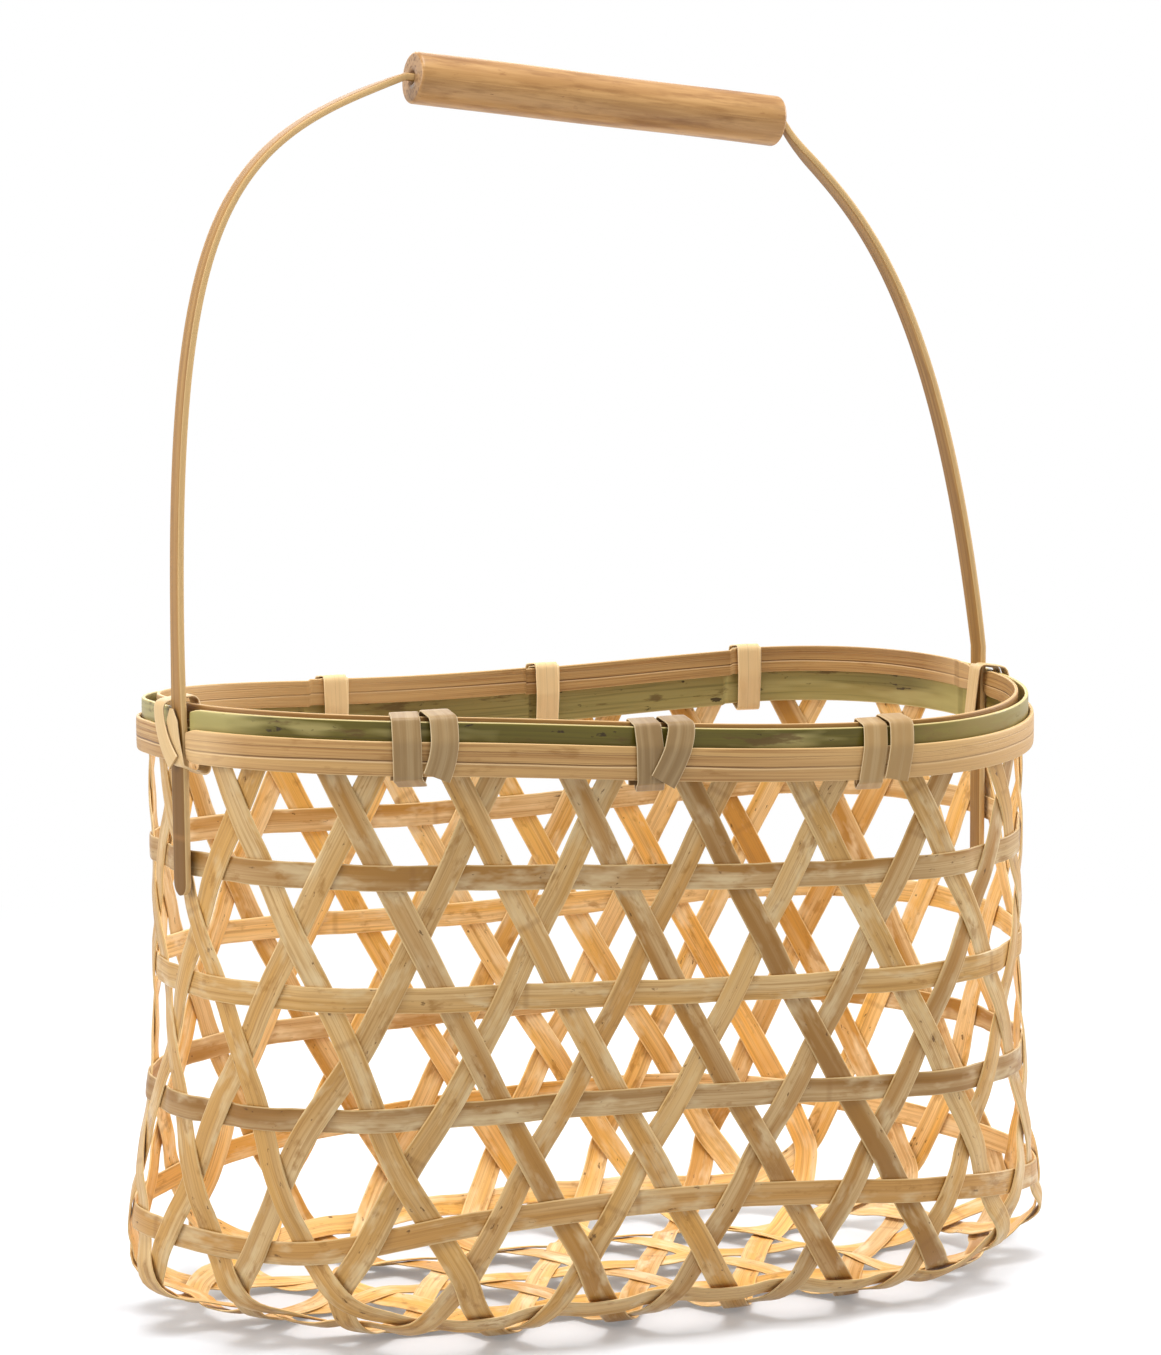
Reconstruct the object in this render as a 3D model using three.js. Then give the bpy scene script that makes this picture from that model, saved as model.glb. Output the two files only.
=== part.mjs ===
// An oblong bamboo carrying basket in open hexagonal weave.
// Twenty strips cross the base and turn up into the walls, four closed hoops hold the walls,
// split bands clamp the strip ends at the rim, flat lashings bind the rim,
// and a bent strip handle carries a drilled wooden grip that turns on it.
// Frame: +Z up, X along the basket, Y across it, origin under the middle of the base.
import * as THREE from 'three';

// Weave
const pitch = 40; // between neighbouring parallel strips of the flat weave
const stripWidth = 8.1;
const stripThick = 0.8;
const crossingGap = 0.65; // air left between two strips where they cross
const foldSlack = 0.8; // extra stand-off of a crossing where the weave turns up from the base
const bendLimit = 0.18; // radians that the surface may bend under one facet
const plateau = 0.40; // share of a crossing interval that a strip lies flat on each side of a crossing

// Base and walls
const sideHoles = [3, 5, 2, 3, 5, 2]; // holes along each side of the base, from the left ear
const foldStart = -0.4; // row at which the base starts to turn up; the wall stands on row 1
const footHeight = 23; // height of row 1 above the floor, on average
const earDip = 6.8; // the two ears sit this much lower and the long sides this much higher
const sideFlare = 0.8; // the mouth is this much wider than the foot on each long side
const cornerSpring = 2; // the corners spring out past the flat weave along X
const earSpring = 25.8; // the ears spring out this far
const earSwing = 6.5; // and swing this far towards the long axis
const footRounding = 0.98; // half length of a rounded corner at row 1, in pitches
const rowRise = 38; // height of one row of the standing wall
const wallRows = 4.6; // rows of standing wall, up to the strip ends
const lastCrossedRow = 5; // the highest row at which two rising strips cross
const clampRow = 5.28; // from this row up the strips run in the middle of the rim
const blendRows = 2.3; // rows over which the six-sided foot becomes the oval mouth
const rimHalfWidth = 76.4;
const rimEndFlat = 5.4; // half the straight stretch across each end of the mouth
const rimGather = 0.982; // the mouth's girth as a share of the weave's girth
const rimTurn = 0.27; // the mouth's oval is turned by this many pitches against the base
const rimEndLift = 3.4; // the mouth rises at the left end and sinks at the right end
const rimSideSag = 2.7; // the middles of the long sides hang lower than the ends
const rimTwist = 3.2; // the near left and far right corners rise, the other two sink

// Where the hand-woven wall strays from its even form, near a girth position and over a reach in
// pitches: the weave leans along the wall up to a row, and the wall dips round the lowest hoop.
const wallLean = { at: 1.7, reach: 1.6, shift: 0.17, fadeFrom: 2, fadeTo: 3.2 };
const wallDips = [{ at: 1.4, reach: 1.7, depth: 6 }, { at: 9.3, reach: 2.2, depth: 5 }];
const dipRows = { start: 1, full: 1.5, fadeFrom: 1.4, fadeTo: 2.7 };

// Hoops
const hoopRows = [1.5, 2.5, 3.5, 4.5];

// Rim bands: heights are above the lower edge of the outer band
const rimRow = 5.25; // the outer band's lower edge follows this row
const rimRaise = 3.5; // and lies this much above it
const clampGap = 0.6; // air between the strip ends and the bands that clamp them
const bandGap = 0.35; // air between two bands
const outerBand = { low: 0, high: 11, thick: 1.6 };
const outerGreenBand = { low: 8.5, high: 17.2, thick: 1.4 };
const innerGreenBand = { low: -2, high: 10.5, thick: 1.2 };
const innerBand = { low: 9, high: 18.3, thick: 1.4 };
const bandStep = 0.25; // length of one facet of a band, in pitches

// Handle
const handleWidth = 8;
const handleThick = 2.5;
const handleNeck = 3.6; // width that the strip is pared to inside the grip
const handleGap = 0.75; // air between the feet and the weave
const leftFoot = { at: 0.4, side: 1, bottom: 152 }; // outside the weave
const rightFoot = { at: 9.87, side: -1, bottom: 137 }; // inside the weave
const bowStart = 214; // height at which the feet end and the bow starts
// Each side of the bow rises from its foot, leaning out by lean, and comes down from the grip at drop
// degrees; rise and shoulder say how far it holds those two directions.
const leftSide = { rise: 158, lean: 1, shoulder: 67, drop: 18 };
const rightSide = { rise: 153, lean: -21, shoulder: 26, drop: 61 };

// Grip
const gripLength = 134.5;
const gripRadius = 8.4;
const gripRounding = 1.2;
const boreClearance = 0.4; // around the strip's corners
const gripHeight = 404.5; // height of the grip's middle
const gripShift = 1; // its middle lies this far right of the middle between the feet
const gripTilt = -6; // degrees, right end down

// Lashings: each is one flat strip wound twice round the rim, with some air under it. For each turn
// the numbers say how far along the rim it lies from its place at the lower inner, upper inner,
// upper outer and lower outer edge.
const lashThick = 0.7;
const turnGap = 0.6; // air between the turns of one lashing
const lashStep = 5; // longest sideways facet
const plainLashing = { width: 8, gap: 0.5, turns: [[0, 0, 0.2, 0.6], [0.3, 0.9, 1, 0.6]] };
const spreadLashing = { width: 8, gap: 0.5, turns: [[-4.4, -4.4, -4.6, -4.4], [-2.6, 4.2, 5.2, -1.4]] };
const leftLashing = { width: 7, gap: 0.75, turns: [[9, -8.2, -8.2, 8.6], [9.4, -9, -9, 9]] };
const rightLashing = { width: 7, gap: 0.75, turns: [[-9, 8.2, 8.2, -8.6], [-9.4, 9, 9, -9]] };
const lashings = [
  { name: 'near_lashing_1', at: 2.57, shape: spreadLashing },
  { name: 'near_lashing_2', at: 4.6, shape: spreadLashing },
  { name: 'near_lashing_3', at: 6.6, shape: spreadLashing },
  { name: 'far_lashing_1', at: 12.5, shape: plainLashing },
  { name: 'far_lashing_2', at: 14.5, shape: plainLashing },
  { name: 'far_lashing_3', at: 16.5, shape: plainLashing },
  { name: 'left_foot_lashing', at: leftFoot.at, shape: leftLashing, footSide: leftFoot.side },
  { name: 'right_foot_lashing', at: rightFoot.at, shape: rightLashing, footSide: rightFoot.side },
];

const degree = Math.PI / 180;
const up = new THREE.Vector3(0, 0, 1);
const row = pitch * Math.sin(60 * degree);
const girthHoles = sideHoles.reduce((sum, holes) => sum + holes, 0);
const crossingOffset = (stripThick + crossingGap) / 2;
const floorLift = crossingOffset + stripThick / 2;
const topRow = 1 + wallRows;

// The flat weave's six-sided outline at row 1, centred on the origin.
// sideStart holds the girth position, in pitches, at which each side starts.
const sideStart = [];
const flatCorners = [];
const sideDirections = [];
{
  let position = -0.5;
  const corner = new THREE.Vector2(0, 0);
  const middle = new THREE.Vector2(0, 0);
  sideHoles.forEach((holes, side) => {
    const angle = (side - 1) * 60 * degree;
    const direction = new THREE.Vector2(Math.cos(angle), Math.sin(angle));
    sideStart.push(position);
    sideDirections.push(direction);
    flatCorners.push(corner.clone());
    middle.addScaledVector(corner, 1 / sideHoles.length);
    corner.addScaledVector(direction, holes * pitch);
    position += holes;
  });
  flatCorners.forEach((point) => point.sub(middle));
}

// The standing loop at row 1: the long sides stand under the mouth and the ears spring out.
const footCorners = flatCorners.map((corner, index) => {
  const isEar = index % 3 === 0;
  if (isEar) {
    return new THREE.Vector2(
      corner.x + Math.sign(corner.x) * earSpring,
      corner.y - Math.sign(corner.y) * earSwing,
    );
  }
  return new THREE.Vector2(
    corner.x + Math.sign(corner.x) * cornerSpring,
    Math.sign(corner.y) * (rimHalfWidth - sideFlare),
  );
});

function smooth(t) {
  const x = THREE.MathUtils.clamp(t, 0, 1);
  return x * x * (3 - 2 * x);
}

function wrap(position) {
  return THREE.MathUtils.euclideanModulo(position + 0.5, girthHoles) - 0.5;
}

function sideOf(position) {
  let side = sideStart.length - 1;
  while (side > 0 && wrap(position) < sideStart[side]) {
    side -= 1;
  }
  return side;
}

// Point on a six-sided loop at a girth position, with its corners rounded by a sliding average.
function hexagonLoop(corners, position, rounding) {
  const p = wrap(position);
  const side = sideOf(p);
  const slope = corners.map((corner, index) => {
    const next = corners[(index + 1) % corners.length];
    return next.clone().sub(corner).divideScalar(sideHoles[index]);
  });
  const point = corners[side].clone().addScaledVector(slope[side], p - sideStart[side]);
  corners.forEach((corner, index) => {
    const distance = THREE.MathUtils.euclideanModulo(
      p - sideStart[index] + girthHoles / 2, girthHoles,
    ) - girthHoles / 2;
    if (Math.abs(distance) < rounding) {
      const before = slope[(index + corners.length - 1) % corners.length];
      const after = slope[index];
      point.copy(corner);
      point.addScaledVector(before, -((rounding - distance) ** 2) / (4 * rounding));
      point.addScaledVector(after, (rounding + distance) ** 2 / (4 * rounding));
    }
  });
  return point;
}

// The oval mouth: a rounded rectangle whose girth follows the weave's girth.
const rimGirth = girthHoles * pitch * rimGather;
const rimCornerRadius = rimHalfWidth - rimEndFlat;
const rimHalfLength = (rimGirth + (8 - 2 * Math.PI) * rimCornerRadius) / 4 - rimHalfWidth;

function mouthLoop(position) {
  const halfStraight = rimHalfLength - rimCornerRadius;
  const halfEnd = rimHalfWidth - rimCornerRadius;
  const arc = (Math.PI / 2) * rimCornerRadius;
  const quarter = halfEnd + arc + halfStraight;
  const fraction = (position + rimTurn) / girthHoles;
  const along = THREE.MathUtils.euclideanModulo(fraction, 1) * 4 * quarter;
  const turn = Math.floor(along / (2 * quarter));
  const half = along - turn * 2 * quarter;
  const mirrored = half > quarter;
  const s = mirrored ? 2 * quarter - half : half;
  const point = new THREE.Vector2(-rimHalfLength, -s);
  if (s > halfEnd + arc) {
    point.set(-halfStraight + (s - halfEnd - arc), -rimHalfWidth);
  } else if (s > halfEnd) {
    const angle = (s - halfEnd) / rimCornerRadius;
    point.set(
      -halfStraight - rimCornerRadius * Math.cos(angle),
      -halfEnd - rimCornerRadius * Math.sin(angle),
    );
  }
  if (mirrored) {
    point.x = -point.x;
  }
  return turn === 1 ? point.negate() : point;
}

// Share of a local change at a girth position: one at its middle, none past its reach.
function localShare(position, { at, reach }) {
  const away = THREE.MathUtils.euclideanModulo(position - at + girthHoles / 2, girthHoles)
    - girthHoles / 2;
  return Math.abs(away) < reach ? (1 + Math.cos((Math.PI * away) / reach)) / 2 : 0;
}

function wallHeight(position, v) {
  const angle = (2 * Math.PI * position) / girthHoles;
  const earAngle = (2 * Math.PI * 0.5) / girthHoles;
  const foot = footHeight - earDip * Math.cos(2 * (angle + earAngle));
  const level = THREE.MathUtils.lerp(foot, footHeight, smooth((v - 1) / 2.5));
  const warp = rimEndLift * Math.cos(angle) + rimSideSag * Math.cos(2 * angle)
    + rimTwist * Math.sin(2 * angle);
  const { start, full, fadeFrom, fadeTo } = dipRows;
  const held = smooth((v - start) / (full - start)) * (1 - smooth((v - fadeFrom) / (fadeTo - fadeFrom)));
  const dip = wallDips.reduce((sum, place) => sum + place.depth * localShare(position, place), 0);
  return floorLift + level + (v - 1) * rowRise + warp * (v - 1) / wallRows - dip * held;
}

// Middle surface of the weave on the standing wall: girth position in pitches, height in rows.
function wallPoint(position, v) {
  const lean = 1 - smooth((v - wallLean.fadeFrom) / (wallLean.fadeTo - wallLean.fadeFrom));
  const place = position - wallLean.shift * localShare(position, wallLean) * lean;
  const foot = hexagonLoop(footCorners, place, footRounding);
  const plan = foot.lerp(mouthLoop(place), smooth((v - 1) / blendRows));
  return new THREE.Vector3(plan.x, plan.y, wallHeight(place, v));
}

// Middle surface of the weave below row 1, from a point of the flat weave.
// Inside foldStart it lies flat; outside, a quadratic curve turns it up to the foot of the wall.
function basePoint(x, y) {
  let side = 0;
  let v = -Infinity;
  flatCorners.forEach((corner, index) => {
    const direction = sideDirections[index];
    const inward = -direction.y * (x - corner.x) + direction.x * (y - corner.y);
    if (1 - inward / row > v) {
      v = 1 - inward / row;
      side = index;
    }
  });
  if (v <= foldStart) {
    return new THREE.Vector3(x, y, floorLift);
  }
  const corner = flatCorners[side];
  const direction = sideDirections[side];
  const along = (direction.x * (x - corner.x) + direction.y * (y - corner.y)) / pitch;
  const holes = sideHoles[side];
  const trim = (1 - v) / 2;
  const share = (along - trim) / (holes - 2 * trim);
  const position = sideStart[side] + share * holes;
  if (v > 1) {
    return wallPoint(position, v);
  }
  const startTrim = (1 - foldStart) / 2;
  const startAlong = startTrim + share * (holes - 2 * startTrim);
  const start = corner.clone().addScaledVector(direction, startAlong * pitch);
  start.x -= direction.y * (1 - foldStart) * row;
  start.y += direction.x * (1 - foldStart) * row;
  const end = wallPoint(position, 1);
  const fold = new THREE.QuadraticBezierCurve3(
    new THREE.Vector3(start.x, start.y, floorLift),
    new THREE.Vector3(end.x, end.y, floorLift),
    end,
  );
  fold.arcLengthDivisions = 40;
  return fold.getPointAt((v - foldStart) / (1 - foldStart));
}

// Row of a flat point, which tells how far it is up the fold.
function rowOf(x, y) {
  return Math.max(...flatCorners.map((corner, index) => {
    const direction = sideDirections[index];
    return 1 - (-direction.y * (x - corner.x) + direction.x * (y - corner.y)) / row;
  }));
}

// Outward normal of a surface from two neighbouring differences.
function normalOf(surface, a, b, sense) {
  const step = 0.01;
  const alongA = surface(a + step, b).sub(surface(a - step, b));
  const alongB = surface(a, b + step).sub(surface(a, b - step));
  return alongA.cross(alongB).multiplyScalar(sense).normalize();
}

// Stand-off of a strip from the middle surface at a crossing, larger in the fold.
function standOff(v) {
  const inFold = smooth(v / 0.4) * (1 - smooth((v - 1.5) / 0.9));
  return crossingOffset + foldSlack * inFold;
}

// Closed body through rings of equal point count; looped bodies join the last ring to the first.
function loft(rings, looped = false) {
  const count = rings[0].length;
  const positions = rings.flat().flatMap((point) => [point.x, point.y, point.z]);
  const indices = [];
  const spans = looped ? rings.length : rings.length - 1;
  for (let ring = 0; ring < spans; ring += 1) {
    const next = (ring + 1) % rings.length;
    for (let k = 0; k < count; k += 1) {
      const l = (k + 1) % count;
      const a = ring * count + k;
      const b = ring * count + l;
      const c = next * count + l;
      const d = next * count + k;
      indices.push(a, b, c, a, c, d);
    }
  }
  if (!looped) {
    const last = (rings.length - 1) * count;
    for (let k = 1; k < count - 1; k += 1) {
      indices.push(0, k + 1, k);
      indices.push(last, last + k, last + k + 1);
    }
  }
  const geometry = new THREE.BufferGeometry();
  geometry.setAttribute('position', new THREE.Float32BufferAttribute(positions, 3));
  geometry.setIndex(indices);
  geometry.computeVertexNormals();
  return geometry;
}

// Rectangular section: across is the strip's width direction, outward its thickness direction.
function section(centre, across, outward, width, thick) {
  const w = across.clone().multiplyScalar(width / 2);
  const t = outward.clone().multiplyScalar(thick / 2);
  return [
    centre.clone().sub(w).sub(t),
    centre.clone().add(w).sub(t),
    centre.clone().add(w).add(t),
    centre.clone().sub(w).add(t),
  ];
}

// Rings of a strip through points that know their outward normal.
function stripRings(samples, width, thick, looped = false) {
  return samples.map((sample, index) => {
    const count = samples.length;
    const before = looped ? samples[(index + count - 1) % count] : samples[Math.max(index - 1, 0)];
    const after = looped ? samples[(index + 1) % count] : samples[Math.min(index + 1, count - 1)];
    const tangent = after.point.clone().sub(before.point).normalize();
    const across = sample.normal.clone().cross(tangent).normalize();
    const outward = tangent.clone().cross(across).normalize();
    return section(sample.point, across, outward, sample.width ?? width, thick);
  });
}

function woodMaterial(color, roughness) {
  return new THREE.MeshStandardMaterial({ color, roughness, metalness: 0 });
}

const bamboo = woodMaterial('#cfae7c', 0.6);
const paleBamboo = woodMaterial('#d8c6a3', 0.6);
const greenBamboo = woodMaterial('#8e9a55', 0.45);
const handleBamboo = woodMaterial('#c2a06a', 0.55);
const gripWood = woodMaterial('#d2a26a', 0.5);

const basket = new THREE.Group();

function addPiece(name, geometry, material) {
  const piece = new THREE.Mesh(geometry, material);
  piece.name = name;
  basket.add(piece);
  return piece;
}

// A base strip is a straight line of the flat weave between two crossings on the outline at row 1,
// carried on up the wall at both ends. lean is +1 where it climbs towards larger girth positions.
function traceBaseStrips() {
  const strips = [];
  const seen = new Set();
  sideHoles.forEach((holes, side) => {
    const direction = sideDirections[side];
    for (let k = 0; k < holes; k += 1) {
      const position = sideStart[side] + k + 0.5;
      const start = flatCorners[side].clone().addScaledVector(direction, (k + 0.5) * pitch);
      [1, -1].forEach((lean) => {
        const key = `${position}:${lean}`;
        if (seen.has(key)) {
          return;
        }
        const angle = Math.atan2(direction.y, direction.x) + (90 + 30 * lean) * degree;
        const heading = new THREE.Vector2(Math.cos(angle), Math.sin(angle));
        const end = followToOutline(start, heading);
        seen.add(key);
        seen.add(`${end.position}:${end.lean}`);
        strips.push({ start, heading, position, lean, end });
      });
    }
  });
  return strips;
}

// Steps a heading crossing by crossing until it meets the outline again.
function followToOutline(start, heading) {
  let crossings = 1;
  const point = start.clone().addScaledVector(heading, pitch / 2);
  while (rowOf(point.x, point.y) < 1 - 0.01) {
    point.addScaledVector(heading, pitch / 2);
    crossings += 1;
  }
  const side = flatCorners.findIndex((corner, index) => {
    const direction = sideDirections[index];
    const inward = -direction.y * (point.x - corner.x) + direction.x * (point.y - corner.y);
    const along = direction.dot(point.clone().sub(corner)) / pitch;
    return Math.abs(inward) < 0.01 * row && along > 0 && along < sideHoles[index];
  });
  const along = sideDirections[side].dot(point.clone().sub(flatCorners[side])) / pitch;
  const position = sideStart[side] + Math.round(along * 2) / 2;
  return { crossings, position, lean: Math.sign(heading.dot(sideDirections[side])) };
}

// Surface point, normal and row of a strip at s, counted in crossings from its first upper end.
function stripPlace(strip, s) {
  const wallCrossings = 2 * wallRows;
  const baseCrossings = strip.end.crossings;
  const onFirstWall = s < wallCrossings;
  const onLastWall = s > wallCrossings + baseCrossings;
  if (onFirstWall || onLastWall) {
    const from = onFirstWall ? strip : strip.end;
    const climb = onFirstWall ? wallCrossings - s : s - wallCrossings - baseCrossings;
    const v = 1 + climb / 2;
    const position = from.position + (from.lean * climb) / 4;
    return { point: wallPoint(position, v), normal: normalOf(wallPoint, position, v, 1), v };
  }
  const flat = strip.start.clone().addScaledVector(strip.heading, (s - wallCrossings) * pitch / 2);
  const normal = normalOf(basePoint, flat.x, flat.y, -1);
  return { point: basePoint(flat.x, flat.y), normal, v: rowOf(flat.x, flat.y) };
}

function baseStripGeometry(strip) {
  const wallCrossings = 2 * wallRows;
  const total = 2 * wallCrossings + strip.end.crossings;
  const firstSign = strip.lean;
  const firstCrossing = 2 * (topRow - lastCrossedRow);
  const clampRun = 2 * (topRow - clampRow);
  const samples = [];
  const addSample = (s, sign) => {
    const place = stripPlace(strip, s);
    const offset = sign * standOff(Math.max(place.v, 0));
    samples.push({ point: place.point.addScaledVector(place.normal, offset), normal: place.normal });
  };
  addSample(0, 0);
  addSample(clampRun, 0);
  for (let s = firstCrossing; s < total - clampRun; s += 1) {
    const rowsUp = Math.round(2 * topRow - s);
    const sign = (rowsUp % 2 === 0 ? -1 : 1) * firstSign;
    addSample(s - plateau, sign);
    const bend = stripPlace(strip, s - plateau).normal.angleTo(stripPlace(strip, s + plateau).normal);
    if (bend > bendLimit) {
      addSample(s, sign);
    }
    addSample(s + plateau, sign);
  }
  addSample(total - clampRun, 0);
  addSample(total, 0);
  return loft(stripRings(samples, stripWidth, stripThick));
}

const families = { 0: 'long_strip', 60: 'right_slant_strip', 120: 'left_slant_strip' };
const familyCounts = {};
traceBaseStrips().forEach((strip) => {
  const turn = Math.round(Math.atan2(strip.heading.y, strip.heading.x) / degree);
  const family = families[THREE.MathUtils.euclideanModulo(turn, 180)];
  familyCounts[family] = (familyCounts[family] ?? 0) + 1;
  addPiece(`${family}_${familyCounts[family]}`, baseStripGeometry(strip), bamboo);
});

// A hoop crosses a rising strip every half pitch, over one lean and under the other in turn.
// Where the strips stand off further the hoop wavers less, so that it still lies on them.
function hoopGeometry(v) {
  const samples = [];
  const crossings = 2 * girthHoles;
  const flip = Math.round(v - 0.5) % 2 === 1 ? -1 : 1;
  const waver = crossingOffset - (standOff(v) - crossingOffset) / 2;
  for (let k = 0; k < crossings; k += 1) {
    const crossing = 0.25 + k / 2;
    const sign = (k % 2 === 0 ? 1 : -1) * flip;
    const ends = [-plateau / 2, plateau / 2];
    const normals = ends.map((shift) => normalOf(wallPoint, crossing + shift, v, 1));
    const shifts = normals[0].angleTo(normals[1]) > bendLimit ? [ends[0], 0, ends[1]] : ends;
    shifts.forEach((shift) => {
      const position = crossing + shift;
      const normal = normalOf(wallPoint, position, v, 1);
      const point = wallPoint(position, v).addScaledVector(normal, sign * waver);
      samples.push({ point, normal });
    });
  }
  return loft(stripRings(samples, stripWidth, stripThick, true), true);
}

hoopRows.forEach((v, index) => {
  addPiece(`side_hoop_${index + 1}`, hoopGeometry(v), bamboo);
});

// Place on the rim: outward offset from the strip ends and height above the outer band's lower edge.
function rimPlace(position, offset, height) {
  const normal = normalOf(wallPoint, position, rimRow, 1);
  normal.z = 0;
  normal.normalize();
  const point = wallPoint(position, rimRow);
  point.z = wallHeight(position, rimRow) + rimRaise + height;
  return { point: point.addScaledVector(normal, offset), normal };
}

// Radial layers of the rim, counted from the strip ends.
const firstLayer = stripThick / 2 + clampGap;
const outerGreenMiddle = firstLayer + outerGreenBand.thick / 2;
const outerMiddle = firstLayer + outerGreenBand.thick + bandGap + outerBand.thick / 2;
const innerGreenMiddle = -(firstLayer + innerGreenBand.thick / 2);
const innerMiddle = -(firstLayer + innerGreenBand.thick + bandGap + innerBand.thick / 2);

// A band runs once round the rim and butts at a handle foot, which comes down in the opening.
function bandGeometry(band, offset, foot) {
  const halfOpening = (handleWidth / 2 + bandGap + 0.6) / pitch;
  const start = foot.at + halfOpening;
  const length = girthHoles - 2 * halfOpening;
  const steps = Math.round(length / bandStep);
  const rings = [];
  for (let k = 0; k <= steps; k += 1) {
    const position = start + (length * k) / steps;
    const middle = (band.low + band.high) / 2;
    const { point, normal } = rimPlace(position, offset, middle);
    rings.push(section(point, up, normal, band.high - band.low, band.thick));
  }
  return loft(rings);
}

addPiece('rim_outer_band', bandGeometry(outerBand, outerMiddle, leftFoot), bamboo);
addPiece('rim_outer_green_band', bandGeometry(outerGreenBand, outerGreenMiddle, leftFoot), greenBamboo);
addPiece('rim_inner_green_band', bandGeometry(innerGreenBand, innerGreenMiddle, rightFoot), greenBamboo);
addPiece('rim_inner_band', bandGeometry(innerBand, innerMiddle, rightFoot), bamboo);

// The bow lies in the upright plane through both feet.
const footOffset = crossingOffset + stripThick / 2 + handleGap + handleThick / 2;

function footPlace(foot) {
  return rimPlace(foot.at, foot.side * footOffset, 0);
}

const leftPlace = footPlace(leftFoot);
const rightPlace = footPlace(rightFoot);
const bowPlan = rightPlace.point.clone().sub(leftPlace.point).setZ(0);
const bowSpan = bowPlan.length();
bowPlan.normalize();
const bowAcross = up.clone().cross(bowPlan).normalize();
const bowMiddle = leftPlace.point.clone().lerp(rightPlace.point, 0.5).setZ(0);

function inBow(x, z) {
  return bowMiddle.clone().addScaledVector(bowPlan, x).setZ(z);
}

const gripAxis = new THREE.Vector2(Math.cos(gripTilt * degree), Math.sin(gripTilt * degree));
const gripCentre = new THREE.Vector2(gripShift, gripHeight);
const neckRun = gripLength / 2 + 2.5; // the straight stretch runs a little past the grip's faces
const neckLeft = gripCentre.clone().addScaledVector(gripAxis, -neckRun);
const neckRight = gripCentre.clone().addScaledVector(gripAxis, neckRun);

// Points of one side of the bow, from the top of the foot to the grip.
function bowSide(side, neck, { rise, lean, shoulder, drop }) {
  const foot = new THREE.Vector2((side * bowSpan) / 2, bowStart);
  const curve = new THREE.CubicBezierCurve(
    foot,
    new THREE.Vector2(foot.x + side * lean, foot.y + rise),
    new THREE.Vector2(
      neck.x + side * shoulder * Math.cos(drop * degree),
      neck.y - shoulder * Math.sin(drop * degree),
    ),
    neck,
  );
  return curve.getPoints(14);
}

function handleGeometry() {
  const left = bowSide(-1, neckLeft, leftSide);
  const right = bowSide(1, neckRight, rightSide).reverse();
  const outline = [...left, ...right];
  const samples = outline.map((p) => {
    const distance = Math.abs(p.clone().sub(gripCentre).dot(gripAxis));
    const pared = 1 - smooth((distance - neckRun) / 14);
    const width = THREE.MathUtils.lerp(handleWidth, handleNeck, pared);
    return { p, width };
  });
  const rings = [];
  const footRings = (foot, place, order) => {
    const list = [];
    const tip = handleWidth / 2;
    [[0, 0.35], [0.25, 0.75], [1, 1]].forEach(([share, width]) => {
      list.push({ z: foot.bottom + share * tip, width: width * handleWidth });
    });
    list.push({ z: place.point.z - 12, width: handleWidth });
    list.push({ z: place.point.z + 8, width: handleWidth });
    if (order < 0) {
      list.reverse();
    }
    list.forEach(({ z, width }) => {
      const centre = place.point.clone().setZ(z);
      const across = up.clone().cross(place.normal).multiplyScalar(-order);
      rings.push(section(centre, across, place.normal, width, handleThick));
    });
  };
  footRings(leftFoot, leftPlace, 1);
  samples.forEach(({ p, width }, index) => {
    const before = outline[Math.max(index - 1, 0)];
    const after = outline[Math.min(index + 1, outline.length - 1)];
    const tangent = after.clone().sub(before).normalize();
    const outward = bowPlan.clone().multiplyScalar(-tangent.y).addScaledVector(up, tangent.x);
    rings.push(section(inBow(p.x, p.y), bowAcross, outward, width, handleThick));
  });
  footRings(rightFoot, rightPlace, -1);
  return loft(rings);
}

addPiece('handle_bow', handleGeometry(), handleBamboo);

// The grip is a turned dowel with a bore through it, free to turn on the pared neck of the bow.
function gripGeometry() {
  const bore = Math.hypot(handleNeck, handleThick) / 2 + boreClearance;
  const half = gripLength / 2;
  const profile = new THREE.Path();
  profile.moveTo(bore, -half);
  profile.lineTo(gripRadius - gripRounding, -half);
  profile.absarc(gripRadius - gripRounding, -half + gripRounding, gripRounding, -Math.PI / 2, 0);
  profile.absarc(gripRadius - gripRounding, half - gripRounding, gripRounding, 0, Math.PI / 2);
  profile.lineTo(bore, half);
  const points = profile.getPoints(2);
  points.push(points[0].clone());
  return new THREE.LatheGeometry(points, 24);
}

const grip = addPiece('wooden_grip', gripGeometry(), gripWood);
const gripDirection = bowPlan.clone().multiplyScalar(gripAxis.x).addScaledVector(up, gripAxis.y);
grip.quaternion.setFromUnitVectors(new THREE.Vector3(0, 1, 0), gripDirection);
grip.position.copy(inBow(gripCentre.x, gripCentre.y));

// Outline of the bound rim, seen along it: outward offset n and height z of its corners in winding
// order, from the lower inner edge up, over the top and down the outside. Where a foot is bound in,
// its side of the rim is upright.
function boundOutline(footSide) {
  const footFace = footOffset + handleThick / 2;
  const bandFace = outerMiddle + outerBand.thick / 2;
  const bandBack = innerBand.thick / 2 - innerMiddle;
  const outer = footSide > 0 ? Math.max(bandFace, footFace) : bandFace;
  const outerTop = footSide > 0 ? outer : outerGreenMiddle + outerGreenBand.thick / 2;
  const inner = footSide < 0 ? Math.max(bandBack, footFace) : bandBack;
  const innerLow = footSide < 0 ? inner : innerGreenBand.thick / 2 - innerGreenMiddle;
  return [
    { n: -innerLow, z: innerGreenBand.low, along: 0 },
    { n: -inner, z: innerBand.low, along: 0.5 },
    { n: -inner, z: innerBand.high, along: 1 },
    { n: outerTop, z: outerGreenBand.high, along: 2 },
    { n: outer, z: outerBand.high, along: 2.4 },
    { n: outer, z: outerBand.low, along: 3 },
  ];
}

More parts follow.
